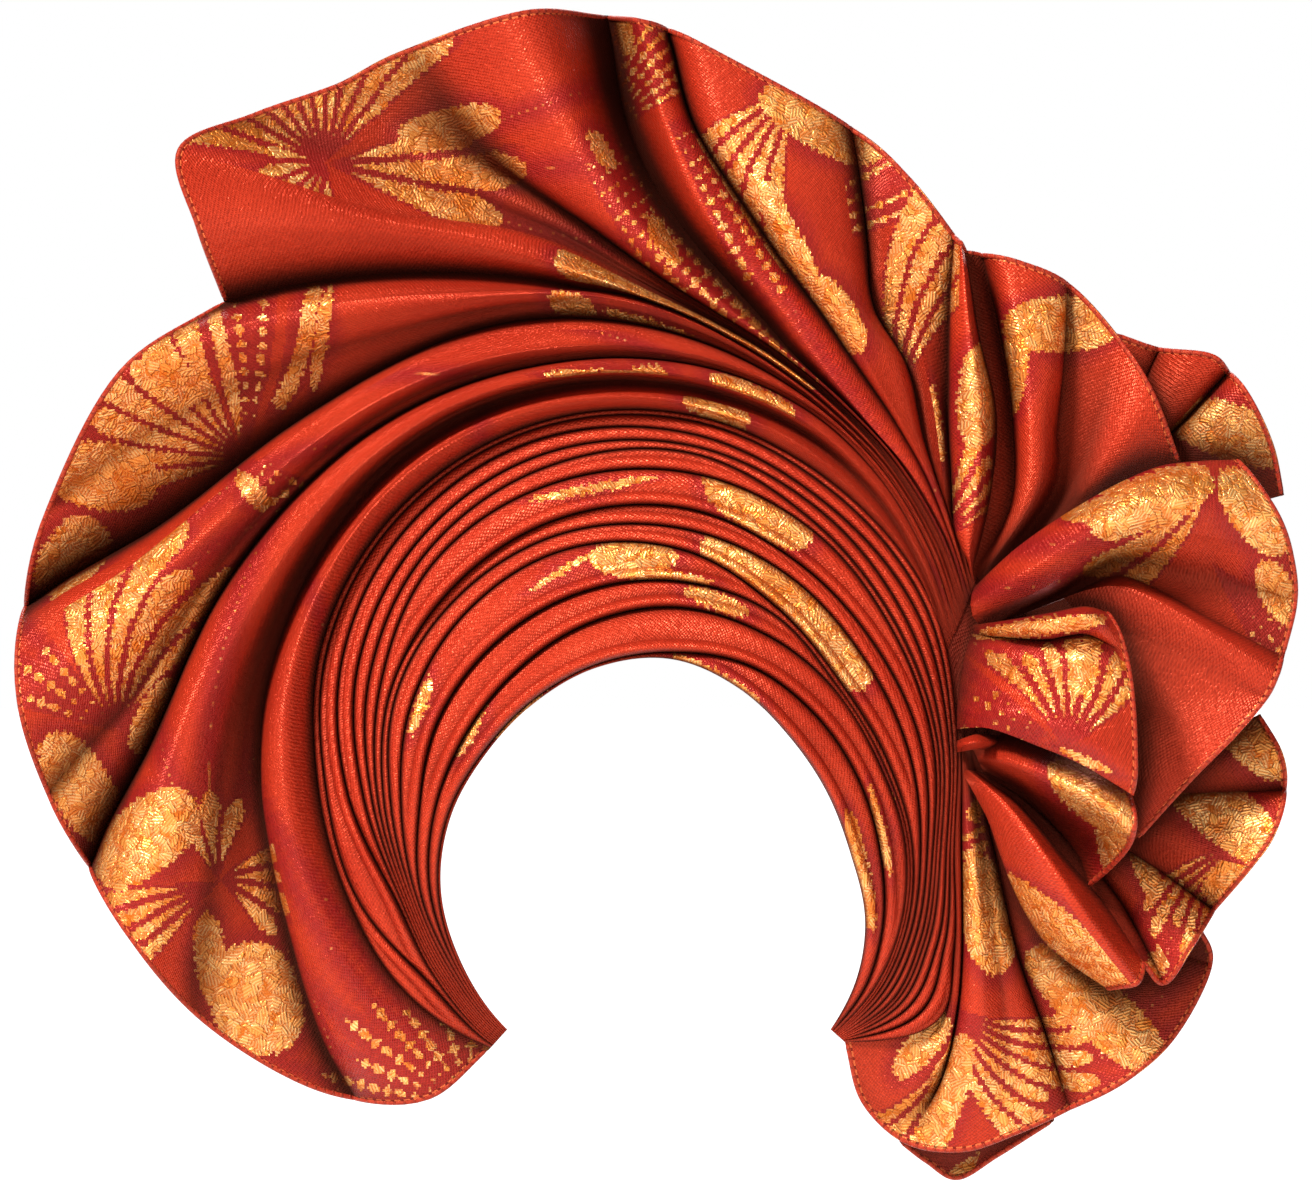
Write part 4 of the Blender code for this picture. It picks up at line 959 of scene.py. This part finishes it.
sidePanel = {
    "folds": (
        ("panelRidge", (0.30, 0.470), (0.40, 0.500), (0.52, 0.49), (0.75, 0.360), (0.945, 0.235), 0.26, 0.40, 0.38),
        ("panelFace", (0.40, 0.360), (0.48, 0.360), (0.57, 0.33), (0.75, 0.240), (0.910, 0.165), 0.26, 0.34, 0.36),
        ("panelMiddle", (0.44, 0.160), (0.50, 0.150), (0.57, 0.13), (0.70, 0.090), (0.820, 0.060), 0.26, 0.32, 0.40),
        ("panelLow", (0.47, -0.08), (0.51, -0.08), (0.55, -0.08), (0.62, -0.07), (0.690, -0.070), 0.26, 0.34, 0.40),
        ("panelFoot", (0.48, -0.255), (0.49, -0.257), (0.50, -0.26), (0.515, -0.255), (0.530, -0.245), 0.28, 0.30, 0.32),
    ),
    # painted shade: the side panel's red is darker than the plain red, for the shade it lies in beside the petal
    "red": (0.37, 0.022, 0.010),
}
centrePetal = {
    "folds": (
        ("lipBack", (0.030, 0.388), (0.14, 0.405), (0.27, 0.430), (0.36, 0.445), (0.430, 0.425), 0.00, 0.56, 0.52),
        ("lipRidge", (0.032, 0.375), (0.14, 0.385), (0.27, 0.408), (0.37, 0.420), (0.458, 0.370), 0.00, 0.86, 0.66),
        ("lipUnder", (0.030, 0.360), (0.13, 0.350), (0.25, 0.345), (0.36, 0.360), (0.482, 0.300), 0.00, 0.58, 0.72),
        ("upperTuck", (0.015, 0.330), (0.11, 0.315), (0.23, 0.305), (0.36, 0.290), (0.496, 0.220), 0.00, 0.66, 0.76),
        ("upperDip", (0.000, 0.270), (0.10, 0.255), (0.22, 0.245), (0.36, 0.210), (0.505, 0.120), 0.00, 0.65, 0.80),
        ("petalRidge", (-0.010, 0.200), (0.09, 0.185), (0.21, 0.175), (0.36, 0.120), (0.508, 0.020), 0.00, 0.70, 0.84),
        ("petalFace", (-0.018, 0.130), (0.08, 0.125), (0.21, 0.100), (0.36, 0.040), (0.508, -0.060), 0.00, 0.74, 0.86),
        ("petalEdge", (-0.018, 0.075), (0.07, 0.080), (0.21, 0.030), (0.35, -0.030), (0.500, -0.120), 0.00, 0.66, 0.80),
    ),
    "leaves": (
        (1060, 746, 72, 48, 7, 108, -0.12, 8, 7, 11, 0, 2.4, 7.2),
        (1060, 746, 160, 24, 5, 92, 0, 30, 5, 4.5, 7, 3, 7.2),
    ),
    "patches": (
        (1082, 662, 34, 13, 70, 1.0, 2, 7),
        (1040, 626, 64, 9, 8, 1.6, 0, 2.6),
        (1082, 758, 30, 4, -24, 1.4, 4, 7.2),
    ),
}
lowerCurl = {
    "folds": (
        ("curlBack", (0.030, 0.014), (0.12, 0.058), (0.25, 0.045), (0.38, -0.020), (0.490, -0.100), 0.05, 0.26, 0.56),
        ("curlTop", (0.040, -0.005), (0.13, 0.000), (0.26, -0.045), (0.39, -0.100), (0.508, -0.180), 0.06, 0.60, 0.78),
        ("curlRidge", (0.045, -0.018), (0.14, -0.030), (0.27, -0.090), (0.40, -0.150), (0.505, -0.235), 0.06, 0.64, 0.78),
        ("curlEdge", (0.050, -0.030), (0.15, -0.062), (0.28, -0.135), (0.40, -0.205), (0.488, -0.285), 0.05, 0.46, 0.60),
        ("curlTail", (0.055, -0.040), (0.16, -0.090), (0.28, -0.180), (0.38, -0.260), (0.440, -0.345), 0.06, 0.26, 0.40),
        ("curlTip", (0.060, -0.048), (0.17, -0.110), (0.28, -0.220), (0.35, -0.310), (0.380, -0.400), 0.06, 0.14, 0.22),
    ),
    "patches": (
        (1092, 796, 54, 23, -38, 1.0, 0, 6),
        (1113, 848, 32, 15, -75, 1.0, 0, 6),
    ),
}
knotTuck = {
    "folds": (
        ("tuckBack", (-0.018, 0.040), (0.00, 0.050), (0.045, 0.062), (0.110, 0.056), 0.00, 0.22, 0.06),
        ("tuckRidge", (-0.020, 0.024), (0.00, 0.032), (0.050, 0.042), (0.115, 0.034), 0.03, 0.38, 0.14),
        ("tuckFoot", (-0.018, 0.006), (0.00, 0.010), (0.045, 0.016), (0.100, 0.008), 0.02, 0.22, 0.02),
    ),
    "hemmed": False,
}
longRuffle = {
    "folds": (
        ("ruffleBack", (0.000, -0.060), (0.075, -0.20), (0.14, -0.38), (0.25, -0.57), (0.440, -0.710), 0.04, 0.20, 0.16),
        ("ruffleFace", (0.005, -0.052), (0.100, -0.18), (0.19, -0.35), (0.30, -0.53), (0.475, -0.702), 0.04, 0.42, 0.34),
        ("ruffleRidge", (0.012, -0.046), (0.130, -0.15), (0.25, -0.31), (0.37, -0.49), (0.520, -0.692), 0.04, 0.54, 0.44),
        ("ruffleTurn", (0.022, -0.048), (0.150, -0.145), (0.275, -0.30), (0.40, -0.47), (0.540, -0.665), 0.03, 0.36, 0.36),
        ("ruffleInside", (0.032, -0.050), (0.160, -0.140), (0.290, -0.29), (0.42, -0.44), (0.545, -0.630), 0.03, 0.10, 0.26),
    ),
    "patches": (
        (1068, 938, 92, 19, -42, 1.0, 0, 1.7),
    ),
}
outerRuffle = {
    "folds": (
        ("pocket", (0.045, -0.050), (0.18, -0.135), (0.33, -0.27), (0.48, -0.45), (0.610, -0.695), 0.01, 0.02, 0.18),
        ("leafRidge", (0.055, -0.050), (0.20, -0.125), (0.37, -0.25), (0.55, -0.42), (0.690, -0.580), 0.01, 0.12, 0.34),
        ("leafBack", (0.065, -0.048), (0.22, -0.115), (0.40, -0.23), (0.59, -0.35), (0.760, -0.475), 0.01, 0.08, 0.14),
        ("lowGold", (0.075, -0.045), (0.24, -0.100), (0.43, -0.20), (0.63, -0.28), (0.870, -0.340), 0.01, 0.10, 0.26),
        ("brightRidge", (0.085, -0.040), (0.26, -0.085), (0.46, -0.16), (0.68, -0.20), (0.940, -0.240), 0.00, 0.08, 0.22),
        ("redDip", (0.095, -0.035), (0.28, -0.070), (0.48, -0.12), (0.71, -0.12), (0.978, -0.110), 0.00, 0.05, 0.04),
        ("upperGold", (0.105, -0.030), (0.30, -0.050), (0.51, -0.07), (0.74, -0.03), (0.965, 0.000), 0.00, 0.05, 0.12),
        ("upperEdge", (0.115, -0.025), (0.32, -0.030), (0.54, -0.01), (0.77, 0.060), (0.900, 0.120), 0.00, 0.04, 0.02),
    ),
    "leaves": (
        (1250, 850, 208, 34, 7, 120, -0.26, 10, 6, 7, 0, 1.0, 4.6),
    ),
    "patches": (
        (1262, 745, 44, 25, -40, 1.0, 6.2, 8.3),
        (1226, 812, 74, 30, -40, 1.0, 3.6, 6.1),
        (1238, 874, 38, 20, 40, 1.0, 1.5, 4),
        (1146, 858, 42, 12, -75, 1.0, 0.8, 3),
        (1160, 965, 26, 10, 60, 1.0, 0, 1.6),
    ),
}
seat = shared["seat"]
steps = rosette["steps"]
loopRows = rosetteRows(topLoop["folds"], steps, seat)
panelRows = [loopRows[-1], *rosetteRows(sidePanel["folds"], steps, seat)]
longRows = rosetteRows(longRuffle["folds"], steps, seat)
outerRows = [longRows[-1], *rosetteRows(outerRuffle["folds"], steps, seat)]
for name, node, rows, settings, beside in (
    ("topLoopCloth", "top_loop", loopRows, topLoop, "side_panel"),
    ("sidePanelCloth", "side_panel", panelRows, sidePanel, "top_loop"),
    ("centrePetalCloth", "centre_petal", rosetteRows(centrePetal["folds"], steps, seat), centrePetal, "gather_pad"),
    ("lowerCurlCloth", "lower_curl", rosetteRows(lowerCurl["folds"], steps, seat), lowerCurl, "gather_pad"),
    ("knotTuckCloth", "knot_tuck", rosetteRows(knotTuck["folds"], steps, seat), knotTuck, "gather_pad"),
    ("longRuffleCloth", "long_ruffle", longRows, longRuffle, "tail_fan"),
    ("outerRuffleCloth", "outer_ruffle", outerRows, outerRuffle, "long_ruffle"),
):
    grid = clothBetween(rows, rosette["perFold"], rosette["along"])
    cloth = brocade(node + "Brocade", settings.get("leaves", ()), settings.get("patches", ()), settings.get("red"))
    layCloth(name, [node], grid, cloth, rosette["perFold"], settings.get("hemmed", True))

# the tail below the knot
tail = {
    "along": 140,
    "steps": 13,
    "perFold": 12,
    "folds": (
        ("leftFold", (-0.018, 0.070), (-0.012, -0.34), (-0.015, -0.72), (-0.11, -0.97), (-0.300, -1.055), 0.00, 0.08, 0.02),
        ("leftValley", (-0.010, 0.062), (-0.002, -0.34), (-0.005, -0.71), (-0.06, -0.99), (-0.170, -1.180), 0.00, -0.04, 0.06),
        ("goldRidge", (0.000, 0.054), (0.030, -0.34), (0.045, -0.66), (0.04, -0.93), (0.000, -1.205), 0.00, 0.20, 0.10),
        ("goldFlank", (0.010, 0.046), (0.070, -0.34), (0.11, -0.64), (0.14, -0.88), (0.160, -1.155), 0.00, 0.10, 0.08),
        ("middleValley", (0.020, 0.038), (0.105, -0.33), (0.17, -0.61), (0.25, -0.83), (0.330, -1.080), 0.00, -0.06, -0.02),
        ("secondRidge", (0.030, 0.030), (0.150, -0.32), (0.25, -0.57), (0.36, -0.77), (0.500, -0.990), 0.00, 0.06, 0.10),
        ("redFlank", (0.040, 0.022), (0.200, -0.29), (0.33, -0.51), (0.47, -0.69), (0.650, -0.855), 0.00, -0.02, 0.02),
        ("hemCorner", (0.050, 0.014), (0.240, -0.25), (0.40, -0.44), (0.56, -0.57), (0.760, -0.640), 0.00, -0.06, -0.08),
        ("tuckedEdge", (0.060, 0.006), (0.270, -0.20), (0.43, -0.36), (0.58, -0.48), (0.720, -0.520), 0.00, -0.06, -0.04),
    ),
    "leaves": (
        (959, 1010, -61, 38, 7, 150, -0.2, 8, 6, 99, 0, 2, 9),
        (955, 1050, 253, 16, 3, 122, 0.15, 20, 6, 99, 0, 0, 4),
    ),
    "patches": (
        (976, 812, 10, 8, 60, 1.0, 2, 4.4),
        (976, 833, 17, 4, 25, 1.2, 2, 4.4),
        (976, 850, 18, 4, 25, 1.2, 2, 4.4),
        (988, 915, 62, 28, -78, 1.0, 2, 5.2),
        (948, 1100, 66, 19, 74, 1.0, 1, 5),
        (924, 1050, 40, 15, 50, 1.0, 0, 3),
        (1100, 1012, 90, 30, -42, 1.0, 5, 9),
    ),
}
tailUnder = {
    "folds": (
        ("shownFace", (-0.185, -1.170), (-0.10, -1.215), (0.01, -1.230), (0.13, -1.175), (0.285, -1.095), -0.05, -0.06, -0.07),
        ("pointedHem", (-0.180, -1.182), (-0.10, -1.245), (-0.01, -1.295), (0.11, -1.225), (0.275, -1.118), -0.05, -0.07, -0.07),
    ),
    "patches": ((985, 1172, 38, 12, 25, 1.0, 0, 3),),
}
tailAngles = np.linspace(shared["tailStartAngle"], shared["firstAngle"], tail["steps"])
tailFirst = polarPlaces(tailAngles, valuesAt(band["angles"], band["lines"][-1][1], tailAngles), 0 * tailAngles)
tailRows = keptInOrder([tailFirst, *rosetteRows(tail["folds"], tail["steps"])], -1)
layCloth("tailFanCloth", ["tail_fan"], clothBetween(tailRows, tail["perFold"], tail["along"]),
         brocade("tailBrocade", tail["leaves"], tail["patches"]), tail["perFold"])
print("fans, rosette and tail laid")

# the parts that hold it from behind
under = {"along": 60, "perFold": 8}
hiddenTop = np.array(tailRows)[1:6, -3] + np.array([0, 0.0021, 0])
underGrid = clothBetween([hiddenTop, *rosetteRows(tailUnder["folds"], len(hiddenTop))], under["perFold"], under["along"])
layCloth("tailUnderCloth", ["tail_under"], underGrid.transpose(1, 0, 2),
         brocade("underBrocade", (), tailUnder["patches"], (0.40, 0.025, 0.014)))

gather = {
    "edge": ((0.10, -0.13), (0.115, -0.015), (0.34, 0.08), (0.38, 0.26), (0.19, 0.42), (0.11, 0.60)),
    "ends": ((-0.03, -0.05), (-0.01, 0.60)),     # where it goes in behind the tail and behind the lobe
    "behind": 0.0042,
    "tucked": (0.0015, 0.0015, 0.0015, 0.004, 0.005),    # how far it goes in under each cloth of the fan
    "shade": 0.78,
    "across": 60,
    "along": 90,
}
cheekSide = np.array([tailFirst[0], rollFoot[0], leftRows[-1][0], crestRows[-1][0], overlapRows[-1][0]])
cheekSide[:, 0] -= gather["tucked"]
endPlaces = rosettePlaces(*np.array(gather["ends"]).T, 0.0)
gatherFirst = evenly(np.concatenate([endPlaces[:1], cheekSide, endPlaces[1:]]), gather["along"])
gatherLast = rosettePlaces(*evenly(gather["edge"], gather["along"]).T, 0.0)
share = np.linspace(0, 1, gather["across"])[:, None, None]
gatherGrid = gatherFirst + (gatherLast - gatherFirst) * share
fromEnd = np.minimum(np.linspace(0, 1, gather["along"]), np.linspace(1, 0, gather["along"]))[None, :]
gatherHeight = 0.0005 * np.sin(share[..., 0] * 40) - gather["behind"] * np.clip(1 - fromEnd / 0.16, 0, 1)
gatherHeight -= shared["clothWall"] * 1.2 * np.clip(1 - share[..., 0] * 10, 0, 1)
gatherGrid = onDish(gatherGrid[..., 0], gatherGrid[..., 2], gatherHeight)
layCloth("gatherPadCloth", ["gather_pad"], gatherGrid, brocade("gatherSatin", (), (), (0.34, 0.020, 0.012)),
         hemmed=False, crease=gather["shade"])

hood = {"back": 0.115, "wall": 0.0016, "flare": 0.010, "around": 300, "deep": 60, "ripple": 0.0010}
hoodAngles = np.linspace(shared["firstAngle"], shared["lastAngle"], hood["around"])
turn = np.radians(hoodAngles)
rimRadius = np.hypot(bandCloth[0, :, 0], bandCloth[0, :, 2])
rimAngles = np.linspace(shared["firstAngle"], shared["lastAngle"], band["along"])
rimRadius = np.interp(hoodAngles, rimAngles, rimRadius) + hood["wall"]
outerRadius = rimRadius + hood["wall"]
hoodFront = dish(outerRadius * np.cos(turn), outerRadius * np.sin(turn)) + 0.0024
share = np.linspace(0, 1, hood["deep"])[:, None]
ripple = np.sin(share * math.pi) * np.sin(share * 14 + 1.5 * np.sin(turn * 3)) * np.cos(turn * 5 + share * 3)
wider = rimRadius + hood["flare"] * np.sin(share * math.pi / 2) + hood["ripple"] * ripple
hoodGrid = np.stack([wider * np.cos(turn), hoodFront + (hood["back"] - hoodFront) * share, wider * np.sin(turn)], axis=-1)
outward = np.stack([np.cos(turn), 0 * turn, np.sin(turn)], axis=-1)
layCloth("crownWrapCloth", ["crown_wrap"], hoodGrid.transpose(1, 0, 2),
         brocade("wrapSatin", (), (), (0.42, 0.028, 0.014)),
         wall=hood["wall"], way=outward[:, None, :])
shadeHollows()
print("wrap and gather laid, hollows shaded")

# camera, floor and light
view = {
    "framePixels": (1312, 1199),
    "metresPerPixel": 0.0004186,
    "middle": (0.00167, 0.11407),
    "distance": 5.0,
    "floorBelow": 0.35,
}
camera = bpy.data.objects.new("camera", bpy.data.cameras.new("camera"))
bpy.context.scene.collection.objects.link(camera)
bpy.context.scene.camera = camera
camera.data.sensor_width = 36.0
camera.data.lens = 36.0 * view["distance"] / (view["framePixels"][0] * view["metresPerPixel"])
camera.data.clip_end = 200.0
camera.location = (view["middle"][0], -view["distance"], view["middle"][1])
camera.rotation_euler = (math.pi / 2, 0, 0)

floorHeight = cadBox[0][2] - view["floorBelow"]
floorSize = 60.0
corners = np.array([(-1, -1), (1, -1), (1, 1), (-1, 1)]) * floorSize
floorPoints = np.column_stack([corners, np.full(4, floorHeight)])
floor = putMesh("floor", floorPoints, [[0, 1, 2, 3]], corners)
floorMaterial = bpy.data.materials.new("paleFloor")
floorMaterial.use_nodes = True
floorShader = floorMaterial.node_tree.nodes["Principled BSDF"].inputs
floorShader["Base Color"].default_value = (0.90, 0.90, 0.90, 1)
floorShader["Roughness"].default_value = 0.9
floorShader["Emission Color"].default_value = (1, 1, 1, 1)
floorShader["Emission Strength"].default_value = 0.12
floor.data.materials.append(floorMaterial)

world = bpy.data.worlds.new("studio")
bpy.context.scene.world = world
world.use_nodes = True
worldTree = world.node_tree
fill = worldTree.nodes["Background"]
fill.inputs[0].default_value = (1.0, 0.99, 0.98, 1)
fill.inputs[1].default_value = 0.16
backdrop = worldTree.nodes.new("ShaderNodeBackground")
backdrop.inputs[0].default_value = (1, 1, 1, 1)
backdrop.inputs[1].default_value = 1.0
seen = worldTree.nodes.new("ShaderNodeLightPath")
choose = worldTree.nodes.new("ShaderNodeMixShader")
worldTree.links.new(seen.outputs["Is Camera Ray"], choose.inputs[0])
worldTree.links.new(fill.outputs[0], choose.inputs[1])
worldTree.links.new(backdrop.outputs[0], choose.inputs[2])
worldTree.links.new(choose.outputs[0], worldTree.nodes["World Output"].inputs[0])

bpy.context.scene.view_settings.view_transform = "Standard"
sunlight = {"energy": 6.2, "angle": 11.0, "from": (-0.55, -0.62, 0.80)}
sun = bpy.data.objects.new("key", bpy.data.lights.new("key", "SUN"))
bpy.context.scene.collection.objects.link(sun)
sun.data.energy = sunlight["energy"]
sun.data.angle = math.radians(sunlight["angle"])
sun.rotation_euler = Vector(sunlight["from"]).to_track_quat("Z", "Y").to_euler()
for name, place, size, power in (
    ("softFront", (0.5, -2.2, 0.6), 1.4, 18.0),
    ("softBack", (0.2, 2.4, 1.4), 1.8, 60.0),
):
    lamp = bpy.data.objects.new(name, bpy.data.lights.new(name, "AREA"))
    bpy.context.scene.collection.objects.link(lamp)
    lamp.data.shape = "SQUARE"
    lamp.data.size = size
    lamp.data.energy = power
    lamp.location = place
    lamp.rotation_euler = (Vector(place) - Vector((0, 0.03, 0.1))).to_track_quat("Z", "Y").to_euler()
print("camera and light ready")
